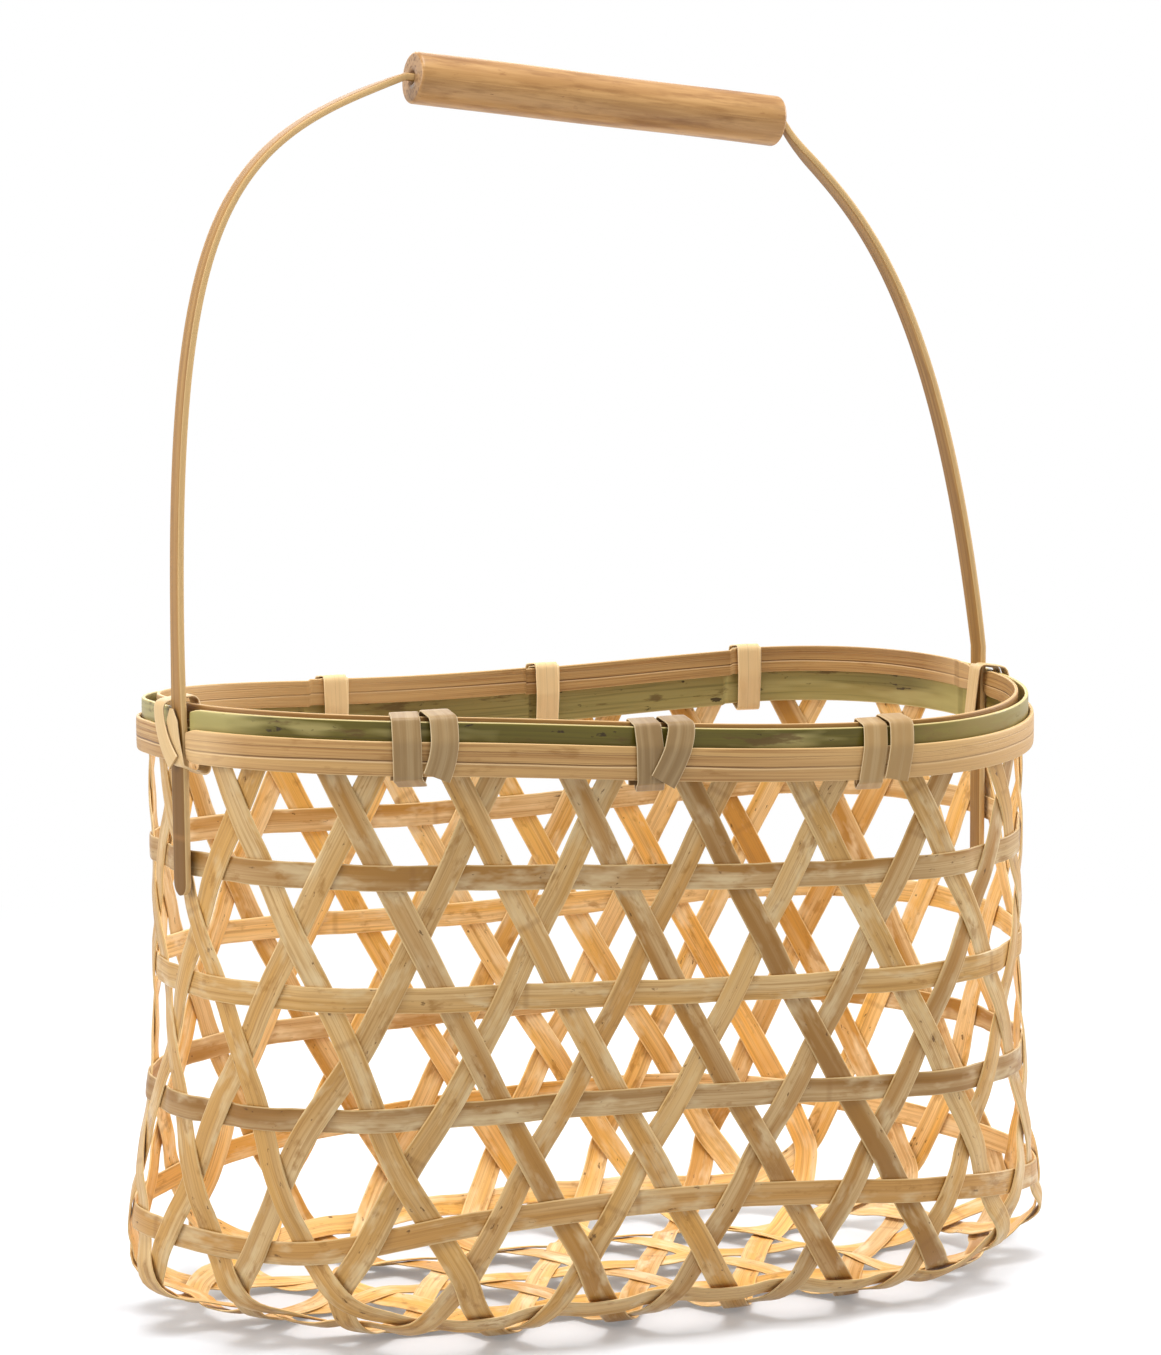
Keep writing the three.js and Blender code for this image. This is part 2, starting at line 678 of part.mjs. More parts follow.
function shiftAt(turn, along) {
  const from = Math.floor(along);
  return THREE.MathUtils.lerp(turn[from], turn[Math.min(from + 1, 3)], along - from);
}

// Stations of a lashing round the outline's corners, each turn lying over the one before.
function woundStations(outline, { gap, turns }) {
  const stations = [];
  turns.forEach((shifts, turn) => {
    const layer = gap + lashThick / 2 + turn * (lashThick + turnGap);
    outline.forEach((corner, index) => {
      const before = outline[(index + outline.length - 1) % outline.length];
      const after = outline[(index + 1) % outline.length];
      const arrive = Math.atan2(corner.z - before.z, corner.n - before.n) + Math.PI / 2;
      const leave = Math.atan2(after.z - corner.z, after.n - corner.n) + Math.PI / 2;
      const bend = THREE.MathUtils.euclideanModulo(arrive - leave + 0.01, 2 * Math.PI) - 0.01;
      const bends = Math.round(bend / (45 * degree));
      const isStart = turn === 0 && index === 0;
      const isEnd = turn === turns.length - 1 && index === outline.length - 1;
      const first = isStart ? bends : 0;
      const last = isEnd ? 0 : bends;
      for (let k = first; k <= last; k += 1) {
        const angle = arrive - bend * (bends === 0 ? 0.5 : k / bends);
        stations.push({
          n: corner.n + layer * Math.cos(angle),
          z: corner.z + layer * Math.sin(angle),
          shift: shiftAt(shifts, corner.along),
          angle,
          turn,
        });
      }
    });
  });
  return stations.flatMap((station, index) => {
    const next = stations[index + 1] ?? station;
    const steps = Math.max(1, Math.ceil(Math.abs(next.shift - station.shift) / lashStep));
    return Array.from({ length: steps }, (_, k) => ({
      n: THREE.MathUtils.lerp(station.n, next.n, k / steps),
      z: THREE.MathUtils.lerp(station.z, next.z, k / steps),
      shift: THREE.MathUtils.lerp(station.shift, next.shift, k / steps),
      angle: station.angle,
      turn: station.turn,
    }));
  });
}

function lashingRings(stations, at, width) {
  return stations.map((station) => {
    const position = at + station.shift / pitch;
    const reach = width / 2 / pitch;
    const place = rimPlace(position, station.n, station.z);
    const across = rimPlace(position + reach, station.n, station.z).point
      .sub(rimPlace(position - reach, station.n, station.z).point).normalize();
    const rise = place.normal.clone().cross(across);
    const outward = place.normal.clone().multiplyScalar(Math.cos(station.angle))
      .addScaledVector(rise, Math.sin(station.angle));
    return section(place.point, across, outward, width, lashThick);
  });
}

// Points spread over one face of a wound strip; near and far are the face's two corners in a ring.
function facePoints(rings, near, far, spacing) {
  const points = [];
  for (let k = 0; k + 1 < rings.length; k += 1) {
    const along = Math.ceil(rings[k][near].distanceTo(rings[k + 1][near]) / spacing);
    const across = Math.ceil(rings[k][near].distanceTo(rings[k][far]) / spacing);
    for (let i = 0; i <= along; i += 1) {
      const start = rings[k][near].clone().lerp(rings[k + 1][near], i / along);
      const end = rings[k][far].clone().lerp(rings[k + 1][far], i / along);
      for (let j = 0; j <= across; j += 1) {
        points.push(start.clone().lerp(end, j / across));
      }
    }
  }
  return points;
}

// Least air between the outer face of a lashing's first turn and the inner face of its second.
function leastTurnGap(rings, stations) {
  const measureSpacing = 0.6;
  const first = rings.filter((ring, index) => stations[index].turn === 0);
  const second = rings.filter((ring, index) => stations[index].turn === 1);
  const below = facePoints(first, 3, 2, measureSpacing);
  const above = facePoints(second, 0, 1, measureSpacing);
  let least = Infinity;
  below.forEach((p) => {
    above.forEach((q) => {
      least = Math.min(least, p.distanceToSquared(q));
    });
  });
  return Math.sqrt(least);
}

const turnGaps = lashings.map(({ name, at, shape, footSide = 0 }) => {
  const stations = woundStations(boundOutline(footSide), shape);
  const rings = lashingRings(stations, at, shape.width);
  addPiece(name, loft(rings), paleBamboo);
  return leastTurnGap(rings, stations);
});
console.log(`least air between the turns of a lashing: ${Math.min(...turnGaps).toFixed(2)} mm`);

export default basket;
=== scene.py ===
import random
from math import atan2, ceil, copysign, cos, hypot, pi, sin, sqrt

import bpy
from mathutils import Matrix, Vector


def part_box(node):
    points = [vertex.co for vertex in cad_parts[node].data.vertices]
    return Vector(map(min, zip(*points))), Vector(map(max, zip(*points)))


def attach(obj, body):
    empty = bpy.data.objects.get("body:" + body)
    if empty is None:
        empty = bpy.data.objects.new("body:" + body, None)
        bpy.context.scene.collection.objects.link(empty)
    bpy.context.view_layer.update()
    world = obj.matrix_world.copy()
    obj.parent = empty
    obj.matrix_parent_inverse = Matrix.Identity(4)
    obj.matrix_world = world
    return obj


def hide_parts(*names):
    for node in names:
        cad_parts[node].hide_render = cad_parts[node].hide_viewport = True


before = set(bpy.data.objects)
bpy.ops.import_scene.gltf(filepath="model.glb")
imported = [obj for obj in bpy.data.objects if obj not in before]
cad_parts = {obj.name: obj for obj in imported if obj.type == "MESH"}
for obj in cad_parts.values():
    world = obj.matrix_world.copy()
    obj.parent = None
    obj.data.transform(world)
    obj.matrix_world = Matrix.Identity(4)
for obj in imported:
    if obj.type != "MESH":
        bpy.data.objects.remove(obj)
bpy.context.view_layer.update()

mm = 0.001
degree = pi / 180
driftShown = 3 * mm
onRow = 0.01    # rows nearer than this count as the same
up = Vector((0, 0, 1))

# lengths in mm, rows and girth positions in rows and pitches of the hexagonal weave
weave = {
    "pitch": 40,
    "stripWidth": 8.3,
    "stripThick": 0.75,
    "cup": 0.12,
    "crossingLift": 0.44,    # from the middle surface to a strip's middle where two strips cross
    "foldLift": 0.55,    # more lift where the weave turns up
    "liftRows": (0.4, 1.5, 0.9),    # row from which it is full, row where it starts to fade, rows to fade
    "hold": 0.35,    # share of a crossing interval that a strip stays on its side
    "sideHoles": (3, 5, 2, 3, 5, 2),
    "foldStart": -0.4,
    "foldControls": ((0.52, 0.04), (0.89, 0.05)),    # how far out, and less by so much at the ears
    "foldPull": 0.42,
    "foldSteps": 24,
    "footHeight": 23,
    "footRows": 2.5,    # the foot's wave in height fades over these
    "earDip": 6.8,
    "sideFlare": 0.8,
    "cornerSpring": 2,
    "earSpring": 25.8,
    "earSwing": 6.5,
    "footRounding": 0.98,
    "rowRise": 38,
    "wallRows": 4.6,
    "lastCrossedRow": 5,
    "clampRow": 5.28,
    "blendRows": 2.3,
    "floorLift": 1.125,
    "leanAt": 1.7, "leanReach": 1.6, "leanShift": 0.17, "leanRows": (2, 3.2),
    "dips": ((1.4, 1.7, 6), (9.3, 2.2, 5)),    # place, reach, depth
    "dipRows": (1, 1.5, 1.4, 2.7),    # rows where they start, are full, start to fade and end
    "domeRise": 4,    # the middle of the base springs up this much off the floor
    "domeRows": (-0.15, 0.5),
    "stepsPerCrossing": 8,
    "endStep": 0.3, "endRoom": 0.35,
    "widthRange": (0.965, 1.035),
    "widthWaves": ((0.02, 0.9), (0.012, 2.7)),    # share, radians per crossing
    "seed": 11,
}
mouth = {
    "halfWidth": 76.4,
    "endFlat": 5.4,
    "gather": 0.982,
    "turn": 0.27,
    "endLift": 3.4,
    "sideSag": 2.7,
    "twist": 3.2,
}
row = weave["pitch"] * sin(60 * degree)
girthHoles = sum(weave["sideHoles"])
topRow = 1 + weave["wallRows"]
clampRun = 2 * (topRow - weave["clampRow"])
firstRun = 2 * (topRow - weave["lastCrossedRow"])


def hexColour(code):
    parts = [int(code[i:i + 2], 16) / 255 for i in (1, 3, 5)]
    return tuple(c / 12.92 if c <= 0.04045 else ((c + 0.055) / 1.055) ** 2.4 for c in parts) + (1.0,)


def setInputs(tree, node, inputs):
    # by socket name or number: a plain value, a hex colour, an output, or a node for its first output
    for key, value in inputs.items():
        if isinstance(value, bpy.types.Node):
            value = value.outputs[0]
        elif isinstance(value, str) and value.startswith("#"):
            value = hexColour(value)
        if isinstance(value, bpy.types.NodeSocket):
            tree.links.new(value, node.inputs[key])
        else:
            node.inputs[key].default_value = value


def addNode(tree, kind, inputs=None, **settings):
    # shader nodes are asked for without their prefix
    node = tree.nodes.new(kind if kind.startswith(("Geometry", "NodeGroup")) else "ShaderNode" + kind)
    for key, value in settings.items():
        setattr(node, key, value)
    setInputs(tree, node, inputs or {})
    return node


def placeObject(name, data):
    made = bpy.data.objects.new(name, data)
    bpy.context.scene.collection.objects.link(made)
    return made


def smooth(t):
    x = min(max(t, 0.0), 1.0)
    return x * x * (3 - 2 * x)


def cubic(a, b, c, d, t):
    return a * (1 - t) ** 3 + b * 3 * t * (1 - t) ** 2 + c * 3 * t * t * (1 - t) + d * t ** 3


# the middle surface of the weave, first its flat net
sideStart, flatCorners, sideDirections = [], [], []
position, corner = -0.5, Vector((0, 0))
for side, holes in enumerate(weave["sideHoles"]):
    angle = (side - 1) * 60 * degree
    direction = Vector((cos(angle), sin(angle)))
    sideStart.append(position)
    sideDirections.append(direction)
    flatCorners.append(corner.copy())
    corner = corner + direction * holes * weave["pitch"]
    position += holes
middle = sum(flatCorners, Vector((0, 0))) / len(flatCorners)
flatCorners = [c - middle for c in flatCorners]
footCorners = []
for index, c in enumerate(flatCorners):
    signX, signY = copysign(1, c.x), copysign(1, c.y)
    if index % 3 == 0:
        spring, y = weave["earSpring"], c.y - signY * weave["earSwing"]
    else:
        spring, y = weave["cornerSpring"], signY * (mouth["halfWidth"] - weave["sideFlare"])
    footCorners.append(Vector((c.x + signX * spring, y)))
footSlopes = [(footCorners[(i + 1) % 6] - footCorners[i]) / weave["sideHoles"][i] for i in range(6)]
cornerRadius = mouth["halfWidth"] - mouth["endFlat"]
rimGirth = girthHoles * weave["pitch"] * mouth["gather"]
halfLength = (rimGirth + (8 - 2 * pi) * cornerRadius) / 4 - mouth["halfWidth"]


def wayRound(at, middle):
    return (at - middle + girthHoles / 2) % girthHoles - girthHoles / 2


def footLoop(at):
    p = (at + 0.5) % girthHoles - 0.5
    side = max(k for k in range(6) if k == 0 or p >= sideStart[k])
    rounding = weave["footRounding"]
    for index, c in enumerate(footCorners):
        distance = wayRound(p, sideStart[index])
        if abs(distance) < rounding:
            return (c - footSlopes[index - 1] * (rounding - distance) ** 2 / (4 * rounding)
                    + footSlopes[index] * (rounding + distance) ** 2 / (4 * rounding))
    return footCorners[side] + footSlopes[side] * (p - sideStart[side])


def mouthLoop(at):
    # straight sides, round corners and short flat ends, walked from the middle of the left end
    halfStraight = halfLength - cornerRadius
    halfEnd = mouth["halfWidth"] - cornerRadius
    arc = pi / 2 * cornerRadius
    quarter = halfEnd + arc + halfStraight
    turn, half = divmod(((at + mouth["turn"]) / girthHoles) % 1 * 4 * quarter, 2 * quarter)
    s = min(half, 2 * quarter - half)
    angle = min(max(s - halfEnd, 0) / cornerRadius, pi / 2)
    x = max(s - halfEnd - arc, 0) - halfStraight - cornerRadius * cos(angle)
    y = -min(s, halfEnd) - cornerRadius * sin(angle)
    if half > quarter:
        x = -x
    return Vector((-x, -y)) if turn else Vector((x, y))


def localShare(at, middle, reach):
    away = wayRound(at, middle)
    return (1 + cos(pi * away / reach)) / 2 if abs(away) < reach else 0.0


def wallHeight(at, v):
    angle = 2 * pi * at / girthHoles
    foot = weave["footHeight"] - weave["earDip"] * cos(2 * (angle + pi / girthHoles))
    level = foot + (weave["footHeight"] - foot) * smooth((v - 1) / weave["footRows"])
    warp = (mouth["endLift"] * cos(angle) + mouth["sideSag"] * cos(2 * angle)
            + mouth["twist"] * sin(2 * angle))
    start, full, fadeFrom, fadeTo = weave["dipRows"]
    held = smooth((v - start) / (full - start)) * (1 - smooth((v - fadeFrom) / (fadeTo - fadeFrom)))
    dip = sum(depth * localShare(at, middle, reach) for middle, reach, depth in weave["dips"])
    return (weave["floorLift"] + level + (v - 1) * weave["rowRise"] + warp * (v - 1) / weave["wallRows"]
            - dip * held)


def wallPoint(at, v):
    low, high = weave["leanRows"]
    lean = 1 - smooth((v - low) / (high - low))
    place = at - weave["leanShift"] * localShare(at, weave["leanAt"], weave["leanReach"]) * lean
    plan = footLoop(place).lerp(mouthLoop(place), smooth((v - 1) / weave["blendRows"]))
    return Vector((plan.x, plan.y, wallHeight(place, v)))


def sideRows(x, y):
    return [1 - (-d.y * (x - c.x) + d.x * (y - c.y)) / row for c, d in zip(flatCorners, sideDirections)]


def rowOf(x, y):
    return max(sideRows(x, y))


def basePoint(x, y):
    rows = sideRows(x, y)
    v = max(rows)
    ring, width = weave["domeRows"]
    dome = weave["domeRise"] * smooth((ring - v) / width)
    foldStart = weave["foldStart"]
    if v <= foldStart:
        return Vector((x, y, weave["floorLift"] + dome))
    side = rows.index(v)
    c, d, holes = flatCorners[side], sideDirections[side], weave["sideHoles"][side]
    along = (d.x * (x - c.x) + d.y * (y - c.y)) / weave["pitch"]
    trim = (1 - v) / 2
    share = (along - trim) / (holes - 2 * trim)
    at = sideStart[side] + share * holes
    if v > 1:
        return wallPoint(at, v)
    startTrim = (1 - foldStart) / 2
    startAlong = startTrim + share * (holes - 2 * startTrim)
    flat = c + d * startAlong * weave["pitch"]
    flat = flat + Vector((-d.y, d.x)) * (1 - foldStart) * row
    end = wallPoint(at, 1)
    ear = cos(2 * pi * (2 * at + 1) / girthHoles)
    p0 = Vector((flat.x, flat.y, weave["floorLift"]))
    low = Vector((end.x, end.y, weave["floorLift"]))
    p1, p2 = (p0.lerp(low, reach - byEar * ear) for reach, byEar in weave["foldControls"])
    p2.z += weave["foldPull"] * (end.z - low.z)
    # the fold is a cubic curve, walked by its length
    steps = weave["foldSteps"]
    points = [cubic(p0, p1, p2, end, k / steps) for k in range(steps + 1)]
    lengths = [0.0]
    for one, two in zip(points, points[1:]):
        lengths.append(lengths[-1] + (two - one).length)
    target = (v - foldStart) / (1 - foldStart) * lengths[-1]
    k = 1
    while k < steps and lengths[k] < target:
        k += 1
    point = points[k - 1].lerp(points[k], (target - lengths[k - 1]) / (lengths[k] - lengths[k - 1]))
    point.z += dome
    return point


def normalOf(surface, a, b, sense):
    step = 0.02
    alongA = surface(a + step, b) - surface(a - step, b)
    alongB = surface(a, b + step) - surface(a, b - step)
    return (alongA.cross(alongB) * sense).normalized()


def standOff(v):
    rise, fadeFrom, fade = weave["liftRows"]
    inFold = smooth(v / rise) * (1 - smooth((v - fadeFrom) / fade))
    return weave["crossingLift"] + weave["foldLift"] * inFold


# what each point of a strip's path carries
pathFields = {"centre": "FLOAT_VECTOR", "outward": "FLOAT_VECTOR", "across": "FLOAT_VECTOR",
              "widthShare": "FLOAT", "thickShare": "FLOAT", "along": "FLOAT"}


# a strip is a squared-off circle swept along a path that knows its own directions
def buildStripTree():
    tree = bpy.data.node_groups.new("sweptBambooStrip", "GeometryNodeTree")
    for name, kind in (("Path", "Geometry"), ("Width", "Float"), ("Thickness", "Float"), ("Cup", "Float"),
                       ("Edge Softness", "Float"), ("Edge Points", "Int"), ("Finish", "Material")):
        tree.interface.new_socket(name, in_out="INPUT", socket_type="NodeSocket" + kind)
    tree.interface.new_socket("Strip", in_out="OUTPUT", socket_type="NodeSocketGeometry")
    given = addNode(tree, "NodeGroupInput").outputs
    named = {}
    for name, kind in (*pathFields.items(), ("skin", "FLOAT"), ("edge", "FLOAT")):
        reader = addNode(tree, "GeometryNodeInputNamedAttribute", {"Name": name}, data_type=kind)
        named[name] = reader.outputs["Attribute"]

    # profile: a circle squared off to a flat strip with soft edges; skin and edge run from -1 to 1
    profile = addNode(tree, "GeometryNodeCurvePrimitiveCircle", {"Resolution": given["Edge Points"]})
    place = addNode(tree, "SeparateXYZ", {0: addNode(tree, "GeometryNodeInputPosition")}).outputs
    for name, axis, power in (("skin", "X", given["Edge Softness"]), ("edge", "Y", 0.5)):
        size = addNode(tree, "Math", {0: place[axis]}, operation="ABSOLUTE")
        raised = addNode(tree, "Math", {0: size, 1: power}, operation="POWER")
        sign = addNode(tree, "Math", {0: place[axis]}, operation="SIGN")
        squared = addNode(tree, "Math", {0: raised, 1: sign}, operation="MULTIPLY")
        profile = addNode(tree, "GeometryNodeStoreNamedAttribute",
                          {"Geometry": profile, "Name": name, "Value": squared})
    curve = addNode(tree, "GeometryNodeMeshToCurve", {"Mesh": given["Path"]})
    body = addNode(tree, "GeometryNodeCurveToMesh",
                   {"Curve": curve, "Profile Curve": profile, "Fill Caps": True})

    # each point then moves out and across from its place on the path
    made = {}
    for name, operation, *terms in (
            ("halfThick", "MULTIPLY", given["Thickness"], 0.5),
            ("halfWidth", "MULTIPLY", given["Width"], 0.5),
            ("thick", "MULTIPLY", "halfThick", named["thickShare"]),
            ("wide", "MULTIPLY", "halfWidth", named["widthShare"]),
            ("outBy", "MULTIPLY", "thick", named["skin"]),
            ("acrossBy", "MULTIPLY", "wide", named["edge"]),
            ("square", "MULTIPLY", named["edge"], named["edge"]),
            ("hollow", "SUBTRACT", 0.5, "square"),
            ("cupped", "MULTIPLY_ADD", "hollow", given["Cup"], "outBy"),
            ("around", "ADD", "acrossBy", "outBy")):
        terms = [made[term] if isinstance(term, str) else term for term in terms]
        made[name] = addNode(tree, "Math", dict(enumerate(terms)), operation=operation)
    moves = [addNode(tree, "VectorMath", {0: named[direction], "Scale": made[amount]}, operation="SCALE")
             for direction, amount in (("outward", "cupped"), ("across", "acrossBy"))]
    moved = addNode(tree, "VectorMath", dict(enumerate(moves)), operation="ADD")
    target = addNode(tree, "VectorMath", {0: moved, 1: named["centre"]}, operation="ADD")
    last = addNode(tree, "GeometryNodeSetPosition", {"Geometry": body, "Position": target})
    spread = addNode(tree, "CombineXYZ", {"X": named["along"], "Y": made["around"]})
    last = addNode(tree, "GeometryNodeStoreNamedAttribute",
                   {"Geometry": last, "Name": "stripUv", "Value": spread},
                   data_type="FLOAT2", domain="CORNER")
    for name in pathFields:
        last = addNode(tree, "GeometryNodeRemoveAttribute", {"Geometry": last, "Name": name})
    last = addNode(tree, "GeometryNodeSetShadeSmooth", {"Geometry": last})
    last = addNode(tree, "GeometryNodeSetMaterial", {"Geometry": last, "Material": given["Finish"]})
    addNode(tree, "NodeGroupOutput", {0: last})
    return tree


stripTree = buildStripTree()


def makeStrip(node, samples, width, thick, kind, tone=None, cup=0.0, softness=0.25, points=16):
    # samples hold the path fields in mm, but for the length along the strip
    along = 0.0
    for k, sample in enumerate(samples):
        along += (sample["centre"] - samples[max(k - 1, 0)]["centre"]).length
        sample["along"] = along
    name = node + "_bamboo"
    finish, slot = finishes[kind]
    mesh = bpy.data.meshes.new(name + "Path")
    mesh.from_pydata([s["centre"] * mm for s in samples], [(k, k + 1) for k in range(len(samples) - 1)], [])
    for key, held in pathFields.items():
        layer = mesh.attributes.new(key, held, "POINT")
        scale = mm if key in ("centre", "along") else 1.0
        if held == "FLOAT":
            layer.data.foreach_set("value", [s.get(key, 1.0) * scale for s in samples])
        else:
            layer.data.foreach_set("vector", [c * scale for s in samples for c in s[key]])
    carrier = placeObject(name + "Path", mesh)
    maker = carrier.modifiers.new("sweep", "NODES")
    maker.node_group = stripTree
    values = {"Width": width * mm, "Thickness": thick * mm, "Cup": cup * mm, "Edge Softness": softness,
              "Edge Points": points, "Finish": finish}
    for item in stripTree.interface.items_tree:
        if item.name in values:
            maker[item.identifier] = values[item.name]
    evaluated = carrier.evaluated_get(bpy.context.evaluated_depsgraph_get())
    swept = bpy.data.meshes.new_from_object(evaluated)
    bpy.data.objects.remove(carrier)
    bpy.data.meshes.remove(mesh)
    swept.name = name
    faceOutwards(swept)
    settle(placeObject(name, swept), node, tone=tone)


def faceOutwards(mesh):
    mesh.calc_loop_triangles()
    volume = 0.0
    for triangle in mesh.loop_triangles:
        a, b, c = (mesh.vertices[i].co for i in triangle.vertices)
        volume += a.dot(b.cross(c)) / 6
    if volume < 0:
        mesh.flip_normals()


def tangentAt(points, k):
    return (points[min(k + 1, len(points) - 1)] - points[max(k - 1, 0)]).normalized()


def pathSamples(points, normals, shares, thicks=None):
    samples = []
    for k, point in enumerate(points):
        tangent = tangentAt(points, k)
        across = normals[k].cross(tangent).normalized()
        samples.append({"centre": point, "outward": tangent.cross(across).normalized(), "across": across,
                        "widthShare": shares[k], "thickShare": thicks[k] if thicks else 1.0})
    return samples


def relaxed(points, passes):
    for _ in range(passes):
        points = ([points[0]] + [points[k - 1] * 0.25 + points[k] * 0.5 + points[k + 1] * 0.25
                                 for k in range(1, len(points) - 1)] + [points[-1]])
    return points


def emptyTree(owner):
    owner.use_nodes = True
    owner.node_tree.nodes.clear()
    return owner.node_tree


def startMaterial(name):
    material = bpy.data.materials.new(name)
    tree = emptyTree(material)
    shader = addNode(tree, "BsdfPrincipled")
    output = addNode(tree, "OutputMaterial", {"Surface": shader})
    return material, tree, shader, output


def noiseMarks(tree, place, layers, depth):
    marks = []
    for length, width, detail, start, end, share, code, height, gloss in layers:
        stretched = addNode(tree, "VectorMath",
                            {0: place, 1: (1 / (length * mm), 1 / (width * mm), depth)}, operation="MULTIPLY")
        noise = addNode(tree, "TexNoise",
                        {"Vector": stretched, "Scale": 1.0, "Detail": detail, "Roughness": 0.6})
        shown = addNode(tree, "MapRange",
                        {"Value": noise, "From Min": start, "From Max": end, "To Max": share})
        marks.append((shown, "MIX", code, height, gloss))
    return marks


def paint(tree, shader, look, colour, marks):
    # marks lie on one another in their order: share, blend, colour, relief, change of roughness
    relief, rough = 0.0, look["rough"]
    for share, blend, code, height, gloss in marks:
        colour = addNode(tree, "Mix", {0: share, 6: colour, 7: code},
                         data_type="RGBA", blend_type=blend).outputs[2]
        if height:
            relief = addNode(tree, "Math", {0: share, 1: height, 2: relief}, operation="MULTIPLY_ADD")
        if gloss:
            rough = addNode(tree, "Math", {0: share, 1: gloss, 2: rough}, operation="MULTIPLY_ADD")
    bump = addNode(tree, "Bump", {"Strength": look["bump"], "Distance": 0.2 * mm, "Height": relief})
    setInputs(tree, shader, {"Base Color": colour, "Roughness": rough,
                             "Specular IOR Level": look["specular"], "Normal": bump})


# Split bamboo, planed and air dried: dull straw skin outside, warm orange pith side, fibres along it; on the
# wall the skin side is also darkened as painted shade and the pith side brightened as painted light.
def splitBamboo(name, look):
    material, tree, shader, _ = startMaterial(name)
    uv = addNode(tree, "UVMap", uv_map="stripUv")
    own, skin, edge = (addNode(tree, "Attribute", attribute_name=key).outputs["Fac"]
                       for key in ("strip", "skin", "edge"))
    # each strip reads its own stretch of one long pattern
    shift = addNode(tree, "VectorMath", {0: (9.7, 3.1, 5.3), "Scale": own}, operation="SCALE")
    place = addNode(tree, "VectorMath", {0: uv, 1: shift}, operation="ADD")
    along, drawn = (addNode(tree, "SeparateXYZ", {0: value}).outputs["X"] for value in (uv, place))
    side = addNode(tree, "MapRange", {"Value": skin, "From Min": -0.2, "From Max": 0.2})
    tone = addNode(tree, "ValToRGB", {0: own})
    steps = tone.color_ramp.elements
    while len(steps) < len(look["tones"]):
        steps.new(0.5)
    for k, code in enumerate(look["tones"]):
        steps[k].position = k / (len(look["tones"]) - 1)
        steps[k].color = hexColour(code)
    marks = [(side, "MIX", look["skin"], 0, 0), (1.0, "MULTIPLY", tone, 0, 0)]
    marks += noiseMarks(tree, place, look["layers"], 40.0)

    # marks by distance: value, its middle, how far off it starts and is full, share, colour, relief
    spots = []
    for across, wander, half, share, code, height in look["groovesAndShadowLines"]:
        sway = addNode(tree, "TexNoise", {"W": drawn, "Scale": 9.0}, noise_dimensions="1D")
        middle = addNode(tree, "Math", {0: sway, 1: wander, 2: across - wander / 2}, operation="MULTIPLY_ADD")
        spots.append((edge, middle, half, 0.35 * half, share, code, height))
    for middle, half, fade, share, code in look["stretches"]:
        spots.append((along, middle * mm, (half + fade) * mm, half * mm, share, code, 0))
    if look["knuckleShare"]:
        # a knuckle of the cane, 0.8 to 2.8 mm long, crosses each strip now and then
        turns = addNode(tree, "Math", {0: drawn, 1: 1 / (look["knuckles"] * mm)}, operation="MULTIPLY")
        cycle = addNode(tree, "Math", {0: turns}, operation="FRACT")
        spots.append((cycle, 0.5, 1.4 / look["knuckles"], 0.4 / look["knuckles"],
                      look["knuckleShare"], look["knuckle"], 1.0))
    # split edges are paler: partly their own cream colour, partly a painted highlight where they catch the
    # light
    spots.append((edge, 0.0, look["edgeFrom"], look["edgeFrom"] + 0.06, look["edgeShare"], look["edge"], 0))
    for value, middle, start, full, share, code, height in spots:
        away = addNode(tree, "Math", {0: value, 1: middle}, operation="SUBTRACT")
        gap = addNode(tree, "Math", {0: away}, operation="ABSOLUTE")
        shown = addNode(tree, "MapRange",
                        {"Value": gap, "From Min": start, "From Max": full, "To Max": share})
        marks.append((shown, "MIX", code, height, 0))
    # the skin side is multiplied by a duller colour: partly the skin's own dullness, partly painted shade on
    # the outer faces
    marks.append((side, "MULTIPLY", look["dullAndShade"], 0, 0))
    paint(tree, shader, look, look["pith"], marks)
    return material


# layers: length and width in mm, detail, where the noise starts and ends to show, share, colour,
# relief, change of roughness; groovesAndShadowLines (grooves, and on the green a painted shadow line):
# place across (-1 to 1), wander, half width, share, colour, relief; stretches: middle and half length from
# the strip's start in mm, fade, share, colour; knuckles: their spacing in mm; the finest fibres, under 0.1 mm
# in life, are drawn 0.4 mm wide to show
# Wall splits: pale straw with a warm sheen, brown flecks and fine fibres along them.
wallLook = {
    # skin darker and pith brighter than the bare bamboo: partly the pith's warmer colour, partly painted
    # shade outside and painted light inside
    "skin": "#E4B66E", "pith": "#EFBE6A", "dullAndShade": "#D3D0C8", "rough": 0.44, "specular": 0.3, "bump": 0.5,
    "tones": ("#AA9464", "#F2E6D6", "#FFF2D8", "#F8F4F0", "#FFF6E0", "#CBB58C", "#FFFFFF"),
    "layers": (
        (150, 7, 2, 0.42, 0.62, 0.6, "#F4D6A4", 0, 0),
        (55, 1.1, 3, 0.5, 0.66, 0.5, "#B08040", -0.25, 0.1),
        (40, 0.42, 2, 0.5, 0.62, 0.35, "#A8783C", -0.45, 0.1),
        # pale waxy patches: partly the skin's whitish bloom, partly a painted sheen
        (19, 7, 3, 0.52, 0.68, 0.55, "#F8E2B8", 0, -0.26),
        (11, 5, 4, 0.58, 0.68, 0.6, "#A8742C", 0, -0.1),
        (5, 2.2, 5, 0.66, 0.71, 0.85, "#6E481E", 0.1, 0),
    ),
    "groovesAndShadowLines": (),
    "stretches": (),
    "knuckles": 172, "knuckle": "#9C6C34", "knuckleShare": 0.3,
    "edge": "#FBDDA4", "edgeFrom": 0.88, "edgeShare": 0.5,
}
